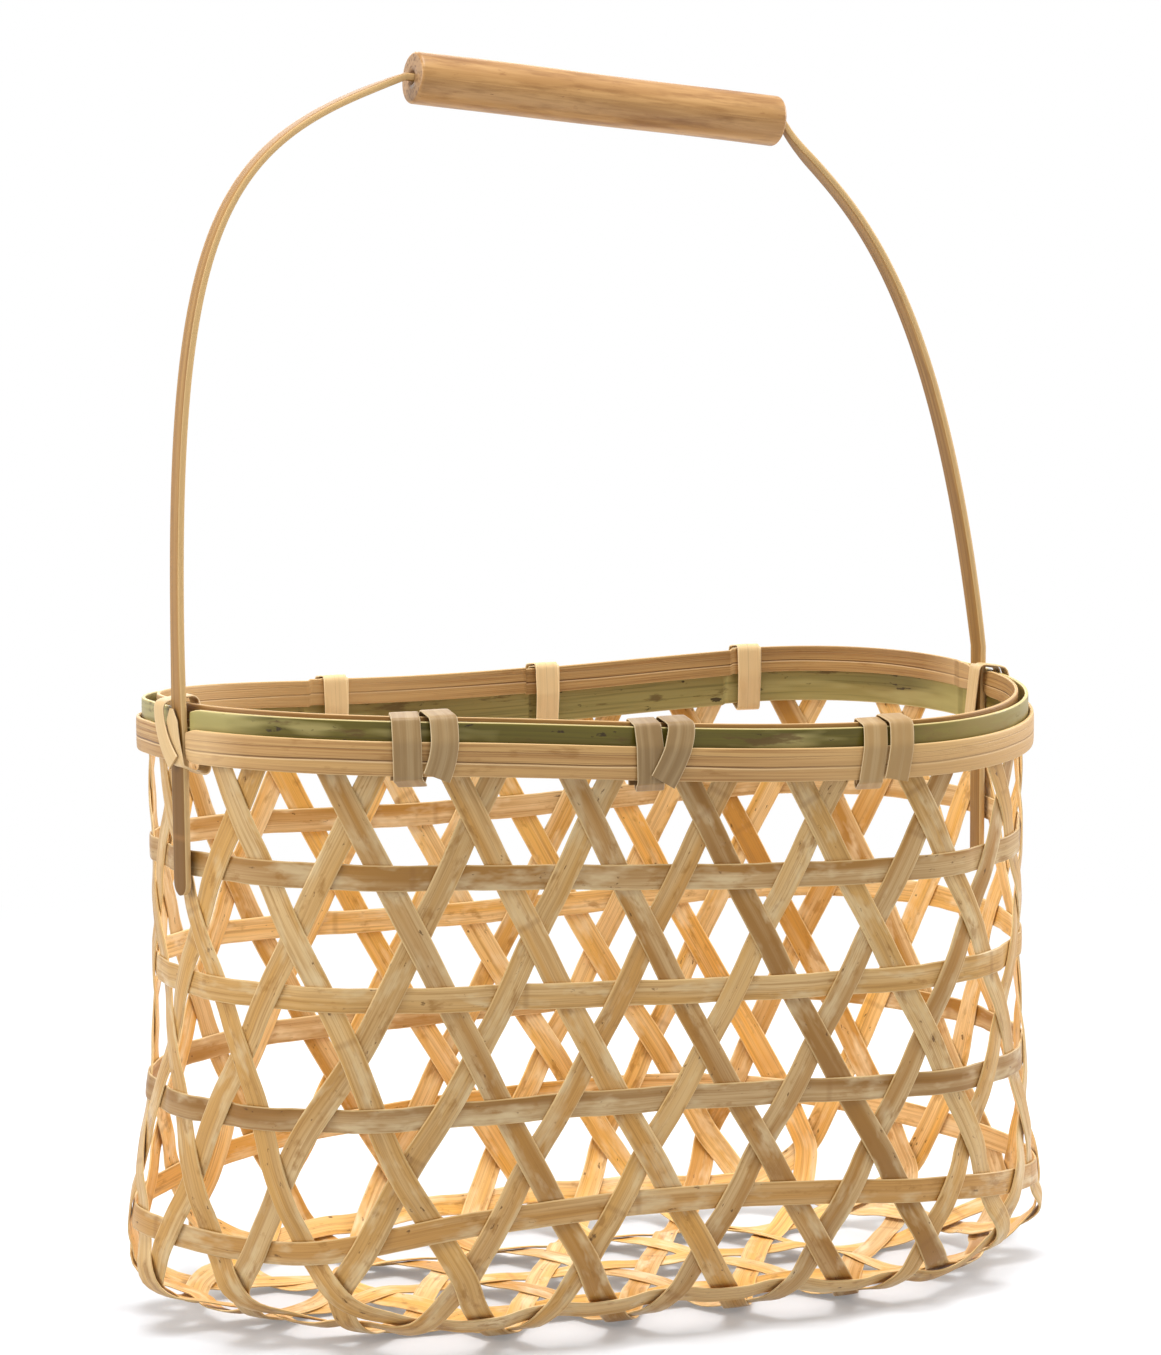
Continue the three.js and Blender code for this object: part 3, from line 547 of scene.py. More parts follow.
# Rim splits: thicker, worn brown, with deep grooves where the fibres have opened.
rimLook = dict(
    wallLook, skin="#976A34", pith="#835A28", dullAndShade="#FFFFFF", bump=0.8, knuckleShare=0,
    edge="#E6C38A", edgeFrom=0.92,
    tones=("#F4E6D0", "#FFFFFF", "#FFF4E0"),
    layers=(
        (220, 3, 2, 0.44, 0.62, 0.65, "#AF8548", 0, 0),
        (420, 60, 0, 0.46, 0.6, 0.5, "#CBA66E", 0, 0),
        (120, 1, 3, 0.5, 0.66, 0.6, "#8A5B28", -0.3, 0.1),
        (60, 0.4, 2, 0.5, 0.62, 0.45, "#7F5526", -0.5, 0.1),
        (14, 3.5, 4, 0.6, 0.7, 0.5, "#8A5E2A", 0, 0),
    ),
    groovesAndShadowLines=(
        (-0.12, 0.36, 0.05, 0.85, "#5E3A16", -1.6),
        (-0.22, 0.36, 0.05, 0.6, "#E2C292", 0.4),
        (0.5, 0.4, 0.03, 0.5, "#74502A", -0.9),
    ),
    # the paler stretches at a band's start and about 300 mm along it are painted light
    stretches=((0, 10, 16, 0.4, "#DDBB8A"), (300, 60, 50, 0.55, "#C8A26C")))
# Green skin left on: olive turning sage, smooth, with dark natural stains.
greenLook = dict(
    wallLook, skin="#62571C", pith="#7C6532", dullAndShade="#FFFFFF", rough=0.36, bump=0.3, knuckleShare=0,
    tones=("#F4F4E0", "#FFFFFF", "#F6F2DA"), edge="#D2BE80", edgeFrom=0.9, edgeShare=0.85,
    layers=(
        (130, 5, 2, 0.46, 0.62, 0.75, "#4E4412", 0, 0),
        (260, 40, 1, 0.48, 0.6, 0.75, "#A4965A", 0, 0.05),
        (60, 0.9, 3, 0.5, 0.68, 0.4, "#40380F", -0.2, 0.05),
        (40, 7, 2, 0.54, 0.66, 0.55, "#AFA066", 0, 0.1),
        (26, 6, 5, 0.58, 0.64, 0.75, "#58401C", 0.1, 0.15),
        (8, 3, 5, 0.64, 0.68, 0.9, "#2E1F0C", 0.2, 0.2),
    ),
    # a dark line near the lower edge, without relief: painted shadow where the green band meets the tan band
    groovesAndShadowLines=((-0.97, 0, 0.06, 0.8, "#3A2A10", 0),),
    # the paler stretches at a band's start and about 325 mm along it are partly the skin's whitish bloom,
    # partly painted light
    stretches=((0, 16, 18, 0.7, "#AB9E60"), (325, 52, 45, 0.55, "#A08C4C")))
# Lashing splits: thin and shaved, so pale and matt; the near lashings are toned greyer and darker as painted
# shade.
lashLook = dict(
    wallLook, skin="#E6C692", pith="#D0AA72", dullAndShade="#FFFFFF", bump=0.5, knuckleShare=0,
    edge="#F2DCB2", edgeFrom=0.93, edgeShare=0.45,
    tones=("#8F8577", "#BFB29D", "#FFFFFF"),
    layers=(
        (60, 2.4, 2, 0.44, 0.64, 0.16, "#D8C196", 0, 0),
        (40, 0.6, 3, 0.5, 0.66, 0.16, "#A08050", -0.3, 0.1),
        (12, 4, 4, 0.54, 0.68, 0.14, "#A88858", 0, 0),
    ),
    groovesAndShadowLines=((0.1, 0.3, 0.02, 0.35, "#7A5C34", -0.6),))
# Handle split: one long tan strip, darker at its foot partly from weathering and partly as painted shade,
# bent over heat.
handleLook = dict(
    wallLook, skin="#976D36", pith="#8C6530", dullAndShade="#FFFFFF", bump=0.2, knuckles=232,
    edge="#D2B07A", edgeShare=0.7, tones=("#FFFFFF", "#FFFFFF"),
    # the darker stretch at the left foot is partly weathering, partly painted shade
    stretches=((0, 46, 20, 0.85, "#66430F"),),
    layers=(
        (160, 3.5, 2, 0.44, 0.62, 0.6, "#B0884C", 0, 0),
        (90, 1.4, 2, 0.52, 0.64, 0.5, "#74501F", -0.6, 0.1),
        (22, 5, 4, 0.6, 0.7, 0.5, "#7C5626", 0, 0),
    ),
    groovesAndShadowLines=((0.25, 0.3, 0.05, 0.6, "#6E4A1E", -1.2),))
finishes = {
    "wall": (splitBamboo("airDriedSplitBamboo", wallLook), "woven_bamboo"),
    "rim": (splitBamboo("splitBambooRimBand", rimLook), "woven_bamboo"),
    "green": (splitBamboo("freshGreenBambooSkin", greenLook), "green_bamboo"),
    "lashing": (splitBamboo("paleBambooLashing", lashLook), "pale_bamboo"),
    "handle": (splitBamboo("bentBambooHandle", handleLook), "handle_bamboo"),
}
print("materials ready")

pieceNumber = random.Random(weave["seed"])


def settle(piece, node, body="basket", tone=None):
    # each piece has a number of its own, which shifts its grain and tone
    number = pieceNumber.random()
    layer = piece.data.attributes.new("strip", "FLOAT", "POINT")
    layer.data.foreach_set("value", [number if tone is None else tone] * len(piece.data.vertices))
    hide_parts(node)
    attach(piece, body)
    # say so where the piece's box differs much from its node's
    low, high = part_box(node)
    corners = [v.co for v in piece.data.vertices]
    drift = max(max(abs(min(c[i] for c in corners) - low[i]), abs(max(c[i] for c in corners) - high[i]))
                for i in range(3))
    if drift > driftShown:
        print("check", node, "drift mm", round(drift / mm, 2))


def betweenCrossings(t, sign):
    # from one side to the other on the way from one crossing strip to the next
    hold = weave["hold"]
    if t <= hold:
        return sign
    if t >= 1 - hold:
        return -sign
    return sign * cos(pi * (t - hold) / (1 - 2 * hold))


# strips that cross the base and climb both walls
def followToOutline(start, heading):
    crossings = 1
    point = start + heading * weave["pitch"] / 2
    while rowOf(point.x, point.y) < 1 - onRow:
        point = point + heading * weave["pitch"] / 2
        crossings += 1
    for side, v in enumerate(sideRows(point.x, point.y)):
        direction = sideDirections[side]
        along = direction.dot(point - flatCorners[side]) / weave["pitch"]
        if abs(v - 1) < onRow and 0 < along < weave["sideHoles"][side]:
            at = sideStart[side] + round(along * 2) / 2
            return {"crossings": crossings, "at": at, "lean": copysign(1, heading.dot(direction))}


def traceStrips():
    strips, seen = [], set()
    for side, holes in enumerate(weave["sideHoles"]):
        direction = sideDirections[side]
        for k in range(holes):
            at = sideStart[side] + k + 0.5
            start = flatCorners[side] + direction * (k + 0.5) * weave["pitch"]
            for lean in (1, -1):
                if (at, lean) in seen:
                    continue
                angle = atan2(direction.y, direction.x) + (90 + 30 * lean) * degree
                heading = Vector((cos(angle), sin(angle)))
                end = followToOutline(start, heading)
                seen.update(((at, lean), (end["at"], end["lean"])))
                strips.append({"start": start, "heading": heading, "at": at, "lean": lean, "end": end})
    return strips


def stripPlace(strip, s):
    wall = 2 * weave["wallRows"]
    base = strip["end"]["crossings"]
    if s < wall or s > wall + base:
        source, climb = (strip, wall - s) if s < wall else (strip["end"], s - wall - base)
        v = 1 + climb / 2
        at = source["at"] + source["lean"] * climb / 4
        return wallPoint(at, v), normalOf(wallPoint, at, v, 1), v
    flat = strip["start"] + strip["heading"] * (s - wall) * weave["pitch"] / 2
    return basePoint(flat.x, flat.y), normalOf(basePoint, flat.x, flat.y, -1), rowOf(flat.x, flat.y)


def weaveShare(s, total, firstSign):
    # -1 inside to +1 outside of the crossing strips
    hold = weave["hold"]
    crossed = s - firstRun
    last = total - 2 * firstRun
    if crossed < -hold:
        return firstSign * smooth((s - clampRun) / (firstRun - hold - clampRun))
    if crossed > last + hold:
        return firstSign * (-1) ** round(last) * smooth((total - clampRun - s) / (firstRun - hold - clampRun))
    k = int(crossed // 1)
    return betweenCrossings(crossed - k, firstSign * (-1) ** k)


def makeWallStrips():
    families = {0: "long_strip", 60: "right_slant_strip", 120: "left_slant_strip"}
    counts = {}
    chance = random.Random(weave["seed"] + 1)
    for strip in traceStrips():
        heading = strip["heading"]
        family = families[round(atan2(heading.y, heading.x) / degree) % 180]
        counts[family] = counts.get(family, 0) + 1
        node = f"{family}_{counts[family]}"
        total = 4 * weave["wallRows"] + strip["end"]["crossings"]
        firstSign = (-1 if round(2 * topRow - firstRun) % 2 == 0 else 1) * strip["lean"]
        steps = [0.0, weave["endStep"]]
        s = clampRun
        while s < total - weave["endRoom"]:
            steps.append(s)
            s += 1 / weave["stepsPerCrossing"]
        steps += [total - weave["endStep"], total]
        points, normals, shares = [], [], []
        phase = [chance.uniform(0, 6.28) for _ in range(3)]
        size = chance.uniform(*weave["widthRange"])
        for s in steps:
            point, normal, v = stripPlace(strip, s)
            offset = weaveShare(s, total, firstSign) * standOff(max(v, 0))
            points.append(point + normal * offset)
            normals.append(normal)
            wander = sum(part * sin(times * s + by) for (part, times), by in zip(weave["widthWaves"], phase))
            shares.append(size * (1 + wander))
        makeStrip(node, pathSamples(relaxed(points, 2), relaxed(normals, 2), shares),
                  weave["stripWidth"], weave["stripThick"], "wall", cup=weave["cup"])
    print("wall strips", counts)


makeWallStrips()


hoops = {
    "rows": (1.5, 2.5, 3.5, 4.5),
    "lap": 0.9,
    "lapStart": 13, "lapStep": 1.5,    # the laps lie round the back, each further on
    "skive": 0.5,
    "paredBy": 0.52,
    "stepsPerHole": 16,
    "widthWave": (0.02, 1.7),
}


# closed hoops: both ends are pared to half thickness and lie on one another
def makeHoops():
    chance = random.Random(weave["seed"] + 2)
    for index, v in enumerate(hoops["rows"]):
        flip = -1 if round(v - 0.5) % 2 == 1 else 1
        waver = weave["crossingLift"] - (standOff(v) - weave["crossingLift"]) / 2
        lapStart = hoops["lapStart"] + hoops["lapStep"] * index
        length = girthHoles + hoops["lap"]
        points, normals, shares, thicks = [], [], [], []
        steps = int(length * hoops["stepsPerHole"])
        phase = [chance.uniform(0, 6.28) for _ in range(2)]
        for k in range(steps + 1):
            run = length * k / steps
            at = lapStart + run
            crossed = (at - 0.25) * 2
            n = int(crossed // 1)
            share = betweenCrossings(crossed - n, (1 if n % 2 == 0 else -1) * flip)
            normal = normalOf(wallPoint, at, v, 1)
            opening = run < girthHoles / 2
            fromLap = run - hoops["lap"] if opening else girthHoles - run
            pared = 1 - smooth(fromLap / hoops["skive"])
            layer = weave["stripThick"] / 4 * pared * (1 if opening else -1)
            points.append(wallPoint(at, v) + normal * (share * waver + layer))
            normals.append(normal)
            part, times = hoops["widthWave"]
            shares.append(1 + part * sin(times * run + phase[0]))
            thicks.append(1 - hoops["paredBy"] * pared)
        makeStrip(f"side_hoop_{index + 1}", pathSamples(points, normals, shares, thicks),
                  weave["stripWidth"], weave["stripThick"], "wall", cup=weave["cup"])
    print("hoops", len(hoops["rows"]))


makeHoops()

rim = {
    "row": 5.25,
    "raise": 3.5,
    "wallHalf": 0.4,    # half of the strips that the bands clamp
    "clampGap": 0.6,
    "bandGap": 0.35,
    "nearFrom": -0.6, "nearReach": 1.4,
    "lowFade": (8.6, 1.2), "shiftFade": (9.2, 0.9),
    "lapStep": 1.3,    # a lapped length of band lies this far inside the one under it
    "lapLift": 0.7, "lapEdge": 0.005,
    "leftFoot": 0.4,
    "rightFoot": 9.87,
    "footRoom": 4.95,    # half of a handle foot and the air beside it
    "endTaper": 0.2, "taperRun": 4,
    "step": 0.06,
}
outerBand = {"low": 0.0, "high": 11.0, "thick": 1.6, "foot": "leftFoot", "kind": "rim"}
outerGreenBand = {"low": 8.5, "high": 17.2, "thick": 1.4, "foot": "leftFoot", "kind": "green"}
innerGreenBand = {"low": -2.0, "high": 10.5, "thick": 1.2, "foot": "rightFoot", "kind": "green",
                  "nearLow": 1.4, "laps": ((10.2, 12.74), (14.66, 16.8))}
# the inner band closes up to the weave along the near side
innerBand = {"low": 9.0, "high": 18.3, "thick": 1.4, "foot": "rightFoot", "kind": "rim",
             "nearShift": 1.5, "laps": ((10.2, 12.68), (14.7, 16.74))}
firstLayer = rim["wallHalf"] + rim["clampGap"]
for side, green, pale in ((1, outerGreenBand, outerBand), (-1, innerGreenBand, innerBand)):
    green["middle"] = side * (firstLayer + green["thick"] / 2)
    pale["middle"] = side * (firstLayer + green["thick"] + rim["bandGap"] + pale["thick"] / 2)


def rimPlace(at, offset, height):
    normal = normalOf(wallPoint, at, rim["row"], 1)
    normal.z = 0
    normal.normalize()
    point = wallPoint(at, rim["row"])
    point.z = wallHeight(at, rim["row"]) + rim["raise"] + height
    return point + normal * offset, normal


def nearShare(near, fade):
    start, run = fade
    return smooth((near - rim["nearFrom"]) / rim["nearReach"]) * (1 - smooth((near - start) / run))


def makeBand(node, band):
    width = band["high"] - band["low"]
    halfOpening = rim["footRoom"] / weave["pitch"]
    start = rim[band["foot"]] + halfOpening
    length = girthHoles - 2 * halfOpening
    steps = round(length / rim["step"])
    places = [start + length * k / steps for k in range(steps + 1)]
    for ends in band.get("laps", ()):
        places += [end + side * rim["lapEdge"] for end in ends if start < end < start + length
                   for side in (-1, 1)]
    places.sort()
    samples = []
    for at in places:
        near = at % girthHoles
        low = band["low"] + (band.get("nearLow", band["low"]) - band["low"]) * nearShare(near, rim["lowFade"])
        lapped = any(first < at < end for first, end in band.get("laps", ()))
        shift = band.get("nearShift", 0) * nearShare(near, rim["shiftFade"])
        point, normal = rimPlace(at, band["middle"] - rim["lapStep"] * lapped + shift,
                                 (low + band["high"]) / 2 + rim["lapLift"] * lapped)
        toEnd = min(at - start, start + length - at) * weave["pitch"]
        taper = 1 - rim["endTaper"] * (1 - smooth(toEnd / rim["taperRun"]))
        samples.append({"centre": point, "outward": normal, "across": up,
                        "widthShare": taper * (band["high"] - low) / width})
    makeStrip(node, samples, width, band["thick"], band["kind"], softness=0.3, points=24)


makeBand("rim_outer_band", outerBand)
makeBand("rim_outer_green_band", outerGreenBand)
makeBand("rim_inner_green_band", innerGreenBand)
makeBand("rim_inner_band", innerBand)
print("rim bands 4")

handle = {
    "width": 8,
    "thick": 2.5,
    "neck": 3.6,
    "gap": 0.75,
    "rimHalf": 1.125,    # half of the rim where a foot is bound to it
    "leftFoot": {"at": rim["leftFoot"], "side": 1, "bottom": 152},
    "rightFoot": {"at": rim["rightFoot"], "side": -1, "bottom": 137},
    "footTop": 208, "footRings": 26, "footCrowding": 1.6, "footTip": 0.12,
    "bowStart": 214, "bowSteps": 60,
    "easePasses": 6,
    "pareRun": 14,
    "leftSide": {"rise": 158, "lean": 1, "shoulder": 67, "drop": 18},
    "rightSide": {"rise": 153, "lean": -21, "shoulder": 26, "drop": 61},
}
grip = {
    "length": 134.5,
    "radius": 8.4,
    "rounding": 1.2,
    "boreClearance": 0.4,
    "height": 404.5,
    "shift": 1,
    "tilt": -6,
    "neckRoom": 2.5,
    "boreRim": 1.6,
    "around": 72, "lengthSteps": 24, "cornerSteps": 6, "boreSteps": 12,
    "wobble": ((0.012, 2, 0.05), (0.008, 3, -0.08)),    # share, times round, turn per mm
}
footOffset = handle["rimHalf"] + handle["gap"] + handle["thick"] / 2
leftPlace, rightPlace = (rimPlace(handle[foot]["at"], handle[foot]["side"] * footOffset, 0)
                         for foot in ("leftFoot", "rightFoot"))
bowPlan = rightPlace[0] - leftPlace[0]
bowPlan.z = 0
bowSpan = bowPlan.length
bowPlan.normalize()
bowAcross = up.cross(bowPlan).normalized()
bowMiddle = leftPlace[0].lerp(rightPlace[0], 0.5)
bowMiddle.z = 0
gripAxis = Vector((cos(grip["tilt"] * degree), sin(grip["tilt"] * degree)))
gripCentre = Vector((grip["shift"], grip["height"]))
neckRun = grip["length"] / 2 + grip["neckRoom"]


def inBow(p):
    point = bowMiddle + bowPlan * p.x
    point.z = p.y
    return point


def bowSide(side, neck, shape):
    foot = Vector((side * bowSpan / 2, handle["bowStart"]))
    controls = (foot, foot + Vector((side * shape["lean"], shape["rise"])),
                neck + Vector((side * shape["shoulder"] * cos(shape["drop"] * degree),
                               -shape["shoulder"] * sin(shape["drop"] * degree))), neck)
    return [cubic(*controls, k / handle["bowSteps"]) for k in range(handle["bowSteps"] + 1)]


def footPath(foot, place, order):
    bottom, count = foot["bottom"], handle["footRings"]
    rings = []
    for k in range(count + 1):
        height = (handle["footTop"] - bottom) * (k / count) ** handle["footCrowding"]
        rounded = sqrt(max(0.0, 1 - max(0.0, 1 - height / (handle["width"] / 2)) ** 2))
        centre = place[0].copy()
        centre.z = bottom + height
        rings.append({"centre": centre, "outward": place[1], "across": up.cross(place[1]) * -order,
                      "widthShare": max(handle["footTip"], rounded)})
    return rings[::order]


def makeHandle():
    outline = (bowSide(-1, gripCentre - gripAxis * neckRun, handle["leftSide"])
               + bowSide(1, gripCentre + gripAxis * neckRun, handle["rightSide"])[::-1])
    rings = footPath(handle["leftFoot"], leftPlace, 1)
    for k, p in enumerate(outline):
        tangent = tangentAt(outline, k)
        distance = abs((p - gripCentre).dot(gripAxis))
        pared = 1 - smooth((distance - neckRun) / handle["pareRun"])
        rings.append({"centre": inBow(p), "outward": bowPlan * -tangent.y + up * tangent.x,
                      "across": bowAcross, "widthShare": 1 + (handle["neck"] / handle["width"] - 1) * pared})
    rings += footPath(handle["rightFoot"], rightPlace, -1)
    # the two feet face along the rim and the bow along its plane: ease one into the other
    for _ in range(handle["easePasses"]):
        for key in ("outward", "across"):
            old = [r[key] for r in rings]
            for k in range(1, len(rings) - 1):
                rings[k][key] = (old[k - 1] + old[k] * 2 + old[k + 1]).normalized()
    makeStrip("handle_bow", rings, handle["width"], handle["thick"], "handle", softness=0.35, points=24)


makeHandle()
print("handle bow")


# Turned softwood, rubbed smooth: soft brown blotches over long pale fibres, end grain darker.
woodLook = {
    "base": "#A57841", "rough": 0.4, "specular": 0.5, "bump": 0.3,
    "layers": (    # as for bamboo, along the grip and around it
        (60, 4, 3, 0.42, 0.62, 0.6, "#C79B62", 0, 0),
        (34, 5, 5, 0.48, 0.64, 0.8, "#80531F", 0, 0),
        (22, 0.9, 3, 0.52, 0.68, 0.45, "#9C6C36", -0.4, 0),
        (9, 2.6, 5, 0.62, 0.7, 0.6, "#8C5C2A", 0, 0),
        (5, 1, 4, 0.68, 0.72, 0.8, "#6E441C", -0.6, 0),
    ),
    "endGrain": "#A37E56", "endSpeck": "#75522F", "specksPerMetre": 900,
}


def gripWood():
    material, tree, shader, _ = startMaterial("turnedSoftwoodGrip")
    uv = addNode(tree, "UVMap", uv_map="gripUv")
    ends = addNode(tree, "Attribute", attribute_name="endFace").outputs["Fac"]
    speck = addNode(tree, "TexNoise",
                    {"Vector": addNode(tree, "TexCoord").outputs["Object"],
                     "Scale": woodLook["specksPerMetre"], "Detail": 3.0})
    spots = addNode(tree, "MapRange", {"Value": speck, "From Min": 0.5, "From Max": 0.66})
    grain = addNode(tree, "Mix", {0: spots, 6: woodLook["endGrain"], 7: woodLook["endSpeck"]},
                    data_type="RGBA").outputs[2]
    marks = noiseMarks(tree, uv, woodLook["layers"], 1.0) + [(ends, "MIX", grain, 0, 0)]
    paint(tree, shader, woodLook, woodLook["base"], marks)
    return material


def makeGrip():
    bore = hypot(handle["neck"], handle["thick"]) / 2 + grip["boreClearance"]
    half = grip["length"] / 2
    r, rounding = grip["radius"], grip["rounding"]
    straight = half - rounding
    corner = [k * pi / 2 / grip["cornerSteps"] for k in range(grip["cornerSteps"] + 1)]
    profile = [(bore, -half), (bore + grip["boreRim"], -half)]
    profile += [(r - rounding + rounding * sin(a), -straight - rounding * cos(a)) for a in corner]
    profile += [(r, straight * (2 * k / grip["lengthSteps"] - 1)) for k in range(1, grip["lengthSteps"])]
    profile += [(r - rounding + rounding * cos(a), straight + rounding * sin(a)) for a in corner]
    profile += [(bore + grip["boreRim"], half), (bore, half)]
    profile += [(bore, half * (1 - 2 * k / grip["boreSteps"])) for k in range(1, grip["boreSteps"])]
    axis = (bowPlan * gripAxis.x + up * gripAxis.y).normalized()
    top = axis.cross(bowAcross)
    centre = inBow(gripCentre)
    around = grip["around"]
    verts, uvs = [], []
    for j in range(around):
        angle = 2 * pi * j / around
        radial = bowAcross * cos(angle) + top * sin(angle)
        turned = atan2(sin(angle), cos(angle))
        for radius, along in profile:
            wobble = sum(part * sin(times * angle + turn * along) for part, times, turn in grip["wobble"])
            size = radius * (1 + wobble) if radius > bore + 0.5 else radius
            verts.append((centre + axis * along + radial * size) * mm)
            uvs.append((along * mm, turned * r * mm))
    count = len(profile)
    faces = []
    for j in range(around):
        one, two = j * count, (j + 1) % around * count
        for k in range(count):
            after = (k + 1) % count
            faces.append((one + k, two + k, two + after, one + after))
    mesh = bpy.data.meshes.new("wooden_grip_turned")
    mesh.from_pydata(verts, [], faces)
    faceOutwards(mesh)
    layer = mesh.attributes.new("endFace", "FLOAT", "POINT")
    layer.data.foreach_set("value", [1.0 if abs(abs(uv[0] / mm) - half) < 0.05 else 0.0 for uv in uvs])
    uvLayer = mesh.uv_layers.new(name="gripUv")
    for loop in mesh.loops:
        uvLayer.data[loop.index].uv = uvs[loop.vertex_index]
    for polygon in mesh.polygons:
        polygon.use_smooth = True
    mesh.materials.append(gripWood())
    settle(placeObject("wooden_grip_turned", mesh), "wooden_grip", "grip")


makeGrip()
print("grip")

lashing = {
    "thick": 0.7,
    "turnGap": 0.3,
    "relaxing": 3,
    "stepAngle": 15,
    "step": 1,
    "startShare": 0.25, "startSteps": 6,    # a foot lashing starts in a pared point on the handle
    # node, place, width, gap to the bands, ease over the top, first quarter, side of the handle foot,
    # lapped bands, tone from dark to pale (low on the near lashings as painted shade), and each turn's shift
    # along the rim at four corners: inside low, inside top, outside top, outside low
    "bound": (
        # the near lashings' low tones are painted shade
        ("near_lashing_1", 2.57, 9.2, 0.5, 2.6, 0, 0, 0, 0.1, (-5.4, -5.4, -5.8, -5.6), (-3, 5.2, 5.8, 2.8)),
        ("near_lashing_2", 4.6, 9.2, 0.5, 1.5, 0, 0, 0, 0.02, (-5.4, -5.4, -5.6, -5.4), (-3, 5.2, 5.8, -1.6)),
        ("near_lashing_3", 6.6, 8.4, 0.5, 1.5, 0, 0, 0, 0.3, (-4.6, -4.6, -4.8, -7.2), (-5, 3.6, 4.4, 1.6)),
        ("far_lashing_1", 12.5, 8.4, 0.5, 1, 0, 0, 1, 0.92, (0, 0, 0.2, 0.6), (0.3, 0.9, 1, 0.6)),
        ("far_lashing_2", 14.5, 8.4, 0.5, 1, 0, 0, 1, 0.98, (0, 0, 0.2, 0.6), (0.3, 0.9, 1, 0.6)),
        ("far_lashing_3", 16.5, 8.4, 0.5, 1, 0, 0, 1, 0.95, (0, 0, 0.2, 0.6), (0.3, 0.9, 1, 0.6)),
        ("left_foot_lashing", rim["leftFoot"], 6.6, 0.75, 2.2, 2, 1, 0, 0.7,
         (0, 0, -0.6, 2.6), (3.4, -6.8, -7, 1.4)),
        ("right_foot_lashing", rim["rightFoot"], 5, 0.75, 1, 0, -1, 0, 0.8,
         (3.5, -1, -1.2, 1), (-0.5, -5.5, -5.8, -4)),
    ),
}


def boundOutline(footSide, lapped):
    # corners of what is bound: how far out, how high, and the quarter of the winding
    footFace = footOffset + handle["thick"] / 2
    outer, outerTop = (band["middle"] + band["thick"] / 2 for band in (outerBand, outerGreenBand))
    inner, innerLow = (band["thick"] / 2 - band["middle"] + rim["lapStep"] * lapped
                       for band in (innerBand, innerGreenBand))
    if footSide > 0:
        outer = outerTop = max(outer, footFace)
    elif footSide < 0:
        inner = innerLow = max(inner, footFace)
    return ((-innerLow, innerGreenBand["low"], 0), (-inner, innerBand["low"], 0.5),
            (-inner, innerBand["high"], 1), (outerTop, outerGreenBand["high"], 2),
            (outer, outerBand["high"], 2.4), (outer, outerBand["low"], 3))


def shiftAt(shifts, ease, travelled):
    # the shift along the rim after so many quarters of the winding
    k = min(int(travelled), len(shifts) - 1)
    t = travelled - k
    if k % 4 == 2:
        t = t ** ease
    return shifts[k] + (shifts[min(k + 1, len(shifts) - 1)] - shifts[k]) * t


def woundStations(outline, gap, ease, start, shifts):
    stations = []
    turns = len(shifts) // 4
    for turn in range(turns):
        layer = gap + lashing["thick"] / 2 + turn * (lashing["thick"] + lashing["turnGap"])
        for index, (n, z, quarter) in enumerate(outline):
            if turn == 0 and quarter < start:
                continue
            before = outline[index - 1]
            after = outline[(index + 1) % len(outline)]
            arrive = atan2(z - before[1], n - before[0]) + pi / 2
            leave = atan2(after[1] - z, after[0] - n) + pi / 2
            bend = (arrive - leave + 0.01) % (2 * pi) - 0.01
            bends = max(1, round(bend / (lashing["stepAngle"] * degree)))
            first = bends if turn == 0 and quarter == start else 0
            last = 0 if turn == turns - 1 and index == len(outline) - 1 else bends
            for k in range(first, last + 1):
                angle = arrive - bend * k / bends
                stations.append((n + layer * cos(angle), z + layer * sin(angle), turn * 4 + quarter, angle))
    fine = []
    for one, two in zip(stations, stations[1:]):
        change = [b - a for a, b in zip(one, two)]
        change[3] = (change[3] + pi) % (2 * pi) - pi
        run = abs(shiftAt(shifts, ease, two[2]) - shiftAt(shifts, ease, one[2]))
        steps = max(1, ceil(max(run, hypot(*change[:2])) / lashing["step"]))
        for k in range(steps):
            n, z, travelled, angle = (a + by * k / steps for a, by in zip(one, change))
            fine.append((n, z, shiftAt(shifts, ease, travelled), angle))
    n, z, travelled, angle = stations[-1]
    fine.append((n, z, shiftAt(shifts, ease, travelled), angle))
    return fine


def makeLashings():
    for node, at, width, gap, ease, start, footSide, lapped, tone, *turns in lashing["bound"]:
        points, normals = [], []
        outline = boundOutline(footSide, lapped)
        for n, z, shift, angle in woundStations(outline, gap, ease, start, sum(turns, ())):
            point, normal = rimPlace(at + shift / weave["pitch"], n, z)
            points.append(point)
            normals.append(normal * cos(angle) + up * sin(angle))
        shares = [min(1.0, lashing["startShare"] + k / lashing["startSteps"]) if start else 1.0
                  for k in range(len(points))]
        points, normals = (relaxed(items, lashing["relaxing"]) for items in (points, normals))
        makeStrip(node, pathSamples(points, normals, shares), width, lashing["thick"], "lashing",
                  tone=tone, softness=0.3)
    print("lashings", len(lashing["bound"]))


makeLashings()

view = {
    "place": (-0.43682, -1.18791, 0.380045),
    "yaw": 20.005,
    "pitch": 7.599,
    "roll": 0.431,
    "focal": 3767.9,    # in pixels of the 1161-wide frame
    "frameWidth": 1161,
}


def makeCamera():
    yaw, pitch, roll = (view[key] * degree for key in ("yaw", "pitch", "roll"))
    data = bpy.data.cameras.new("camera")
    data.sensor_fit = "HORIZONTAL"
    data.sensor_width = 36
    data.lens = view["focal"] / view["frameWidth"] * data.sensor_width
    data.clip_start = 0.05
    camera = placeObject("camera", data)
    turns = ((-yaw, "Z"), (pi / 2 - pitch, "X"), (-roll, "Z"))
    camera.matrix_world = Matrix.Translation(view["place"])
    for angle, axis in turns:
        camera.matrix_world @= Matrix.Rotation(angle, 4, axis)
    bpy.context.scene.camera = camera


makeCamera()

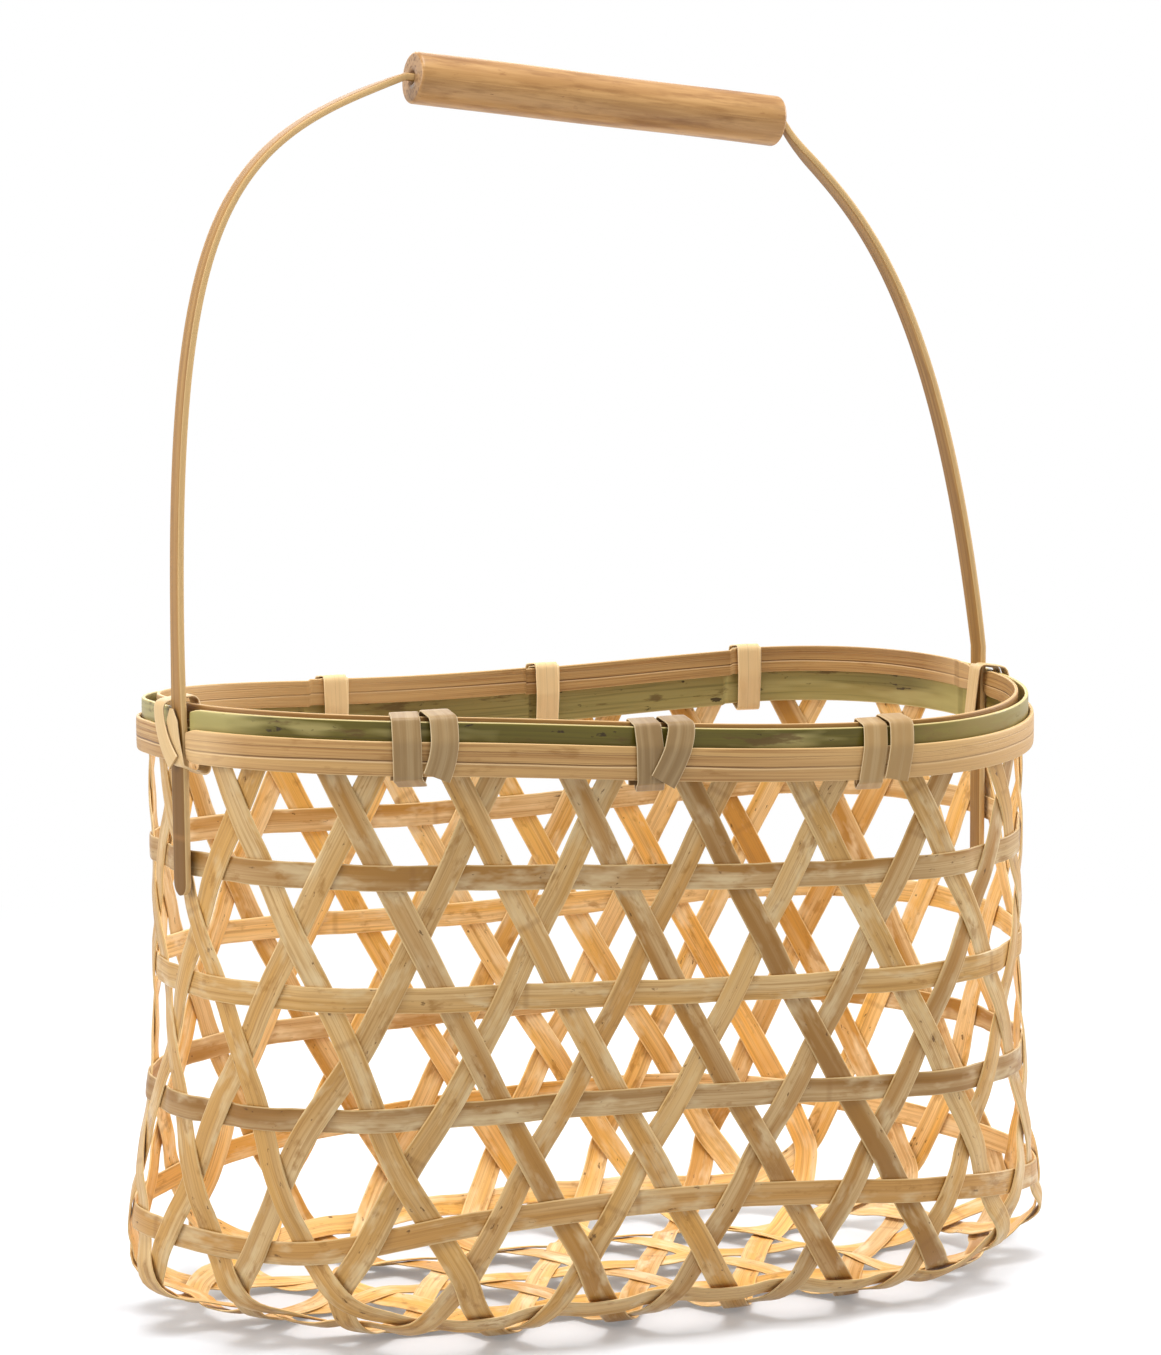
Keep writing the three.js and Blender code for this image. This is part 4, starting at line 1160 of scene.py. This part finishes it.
studio = {
    "worldStrength": 0.46,
    "floorHalf": 6,
    "floorColour": "#DCDEE2",
    "lamps": (    # name, place, power, side
        ("top", (-0.1, -0.35, 2.3), 54, 1.4),
        ("left", (-2.1, 0.1, 1), 29, 1.3),
        ("right", (2.1, 0.1, 1), 41, 1.3),
        ("back", (0.2, 2, 1.2), 14, 1.4),
    ),
    "aimHeight": 0.15,
    "shadowShare": 0.8,    # how much of the lit floor the eye gets close to the basket
    "shadowReach": (0.22, 0.75),
}


def seenByEye(tree):
    # 1 for what the camera sees, straight or in a reflection or through glass
    rays = addNode(tree, "LightPath").outputs
    seen = rays["Is Camera Ray"]
    for ray in ("Is Glossy Ray", "Is Transmission Ray"):
        seen = addNode(tree, "Math", {0: seen, 1: rays[ray]}, operation="ADD", use_clamp=True)
    return seen


def makeStudio():
    world = bpy.data.worlds.new("studio")
    bpy.context.scene.world = world
    tree = emptyTree(world)
    light, white = (addNode(tree, "Background", {"Color": (1, 1, 1, 1), "Strength": strength})
                    for strength in (studio["worldStrength"], 1.0))
    mixed = addNode(tree, "MixShader", {0: seenByEye(tree), 1: light, 2: white})
    addNode(tree, "OutputWorld", {"Surface": mixed})

    # a pale sweep that the eye sees fade to white away from the basket, with its shadow kept
    floorMesh = bpy.data.meshes.new("floor")
    size = studio["floorHalf"]
    floorMesh.from_pydata([(-size, -size, 0), (size, -size, 0), (size, size, 0), (-size, size, 0)], [],
                          [(0, 1, 2, 3)])
    floor = placeObject("floor", floorMesh)
    material, tree, shader, output = startMaterial("paleStudioFloor")
    setInputs(tree, shader, {"Base Color": studio["floorColour"], "Roughness": 0.9,
                             "Specular IOR Level": 0.0})
    place = addNode(tree, "TexCoord").outputs["Object"]
    reach = addNode(tree, "VectorMath", {0: place}, operation="LENGTH").outputs["Value"]
    near, far = studio["shadowReach"]
    fade = addNode(tree, "MapRange",
                   {"Value": reach, "From Min": near, "From Max": far,
                    "To Min": 1 - studio["shadowShare"], "To Max": 1.0}, interpolation_type="SMOOTHSTEP")
    share = addNode(tree, "Math", {0: fade, 1: seenByEye(tree)}, operation="MULTIPLY")
    mixed = addNode(tree, "MixShader", {0: share, 1: shader, 2: addNode(tree, "Emission")})
    setInputs(tree, output, {"Surface": mixed})
    floorMesh.materials.append(material)

    for name, spot, power, side in studio["lamps"]:
        lamp = bpy.data.lights.new(name, "AREA")
        lamp.shape = "SQUARE"
        lamp.size = side
        lamp.energy = power
        holder = placeObject(name, lamp)
        holder.location = spot
        aim = Vector((0, 0, studio["aimHeight"])) - Vector(spot)
        holder.rotation_euler = aim.to_track_quat("-Z", "Y").to_euler()


makeStudio()
bpy.context.scene.view_settings.view_transform = "Standard"
print("studio ready")
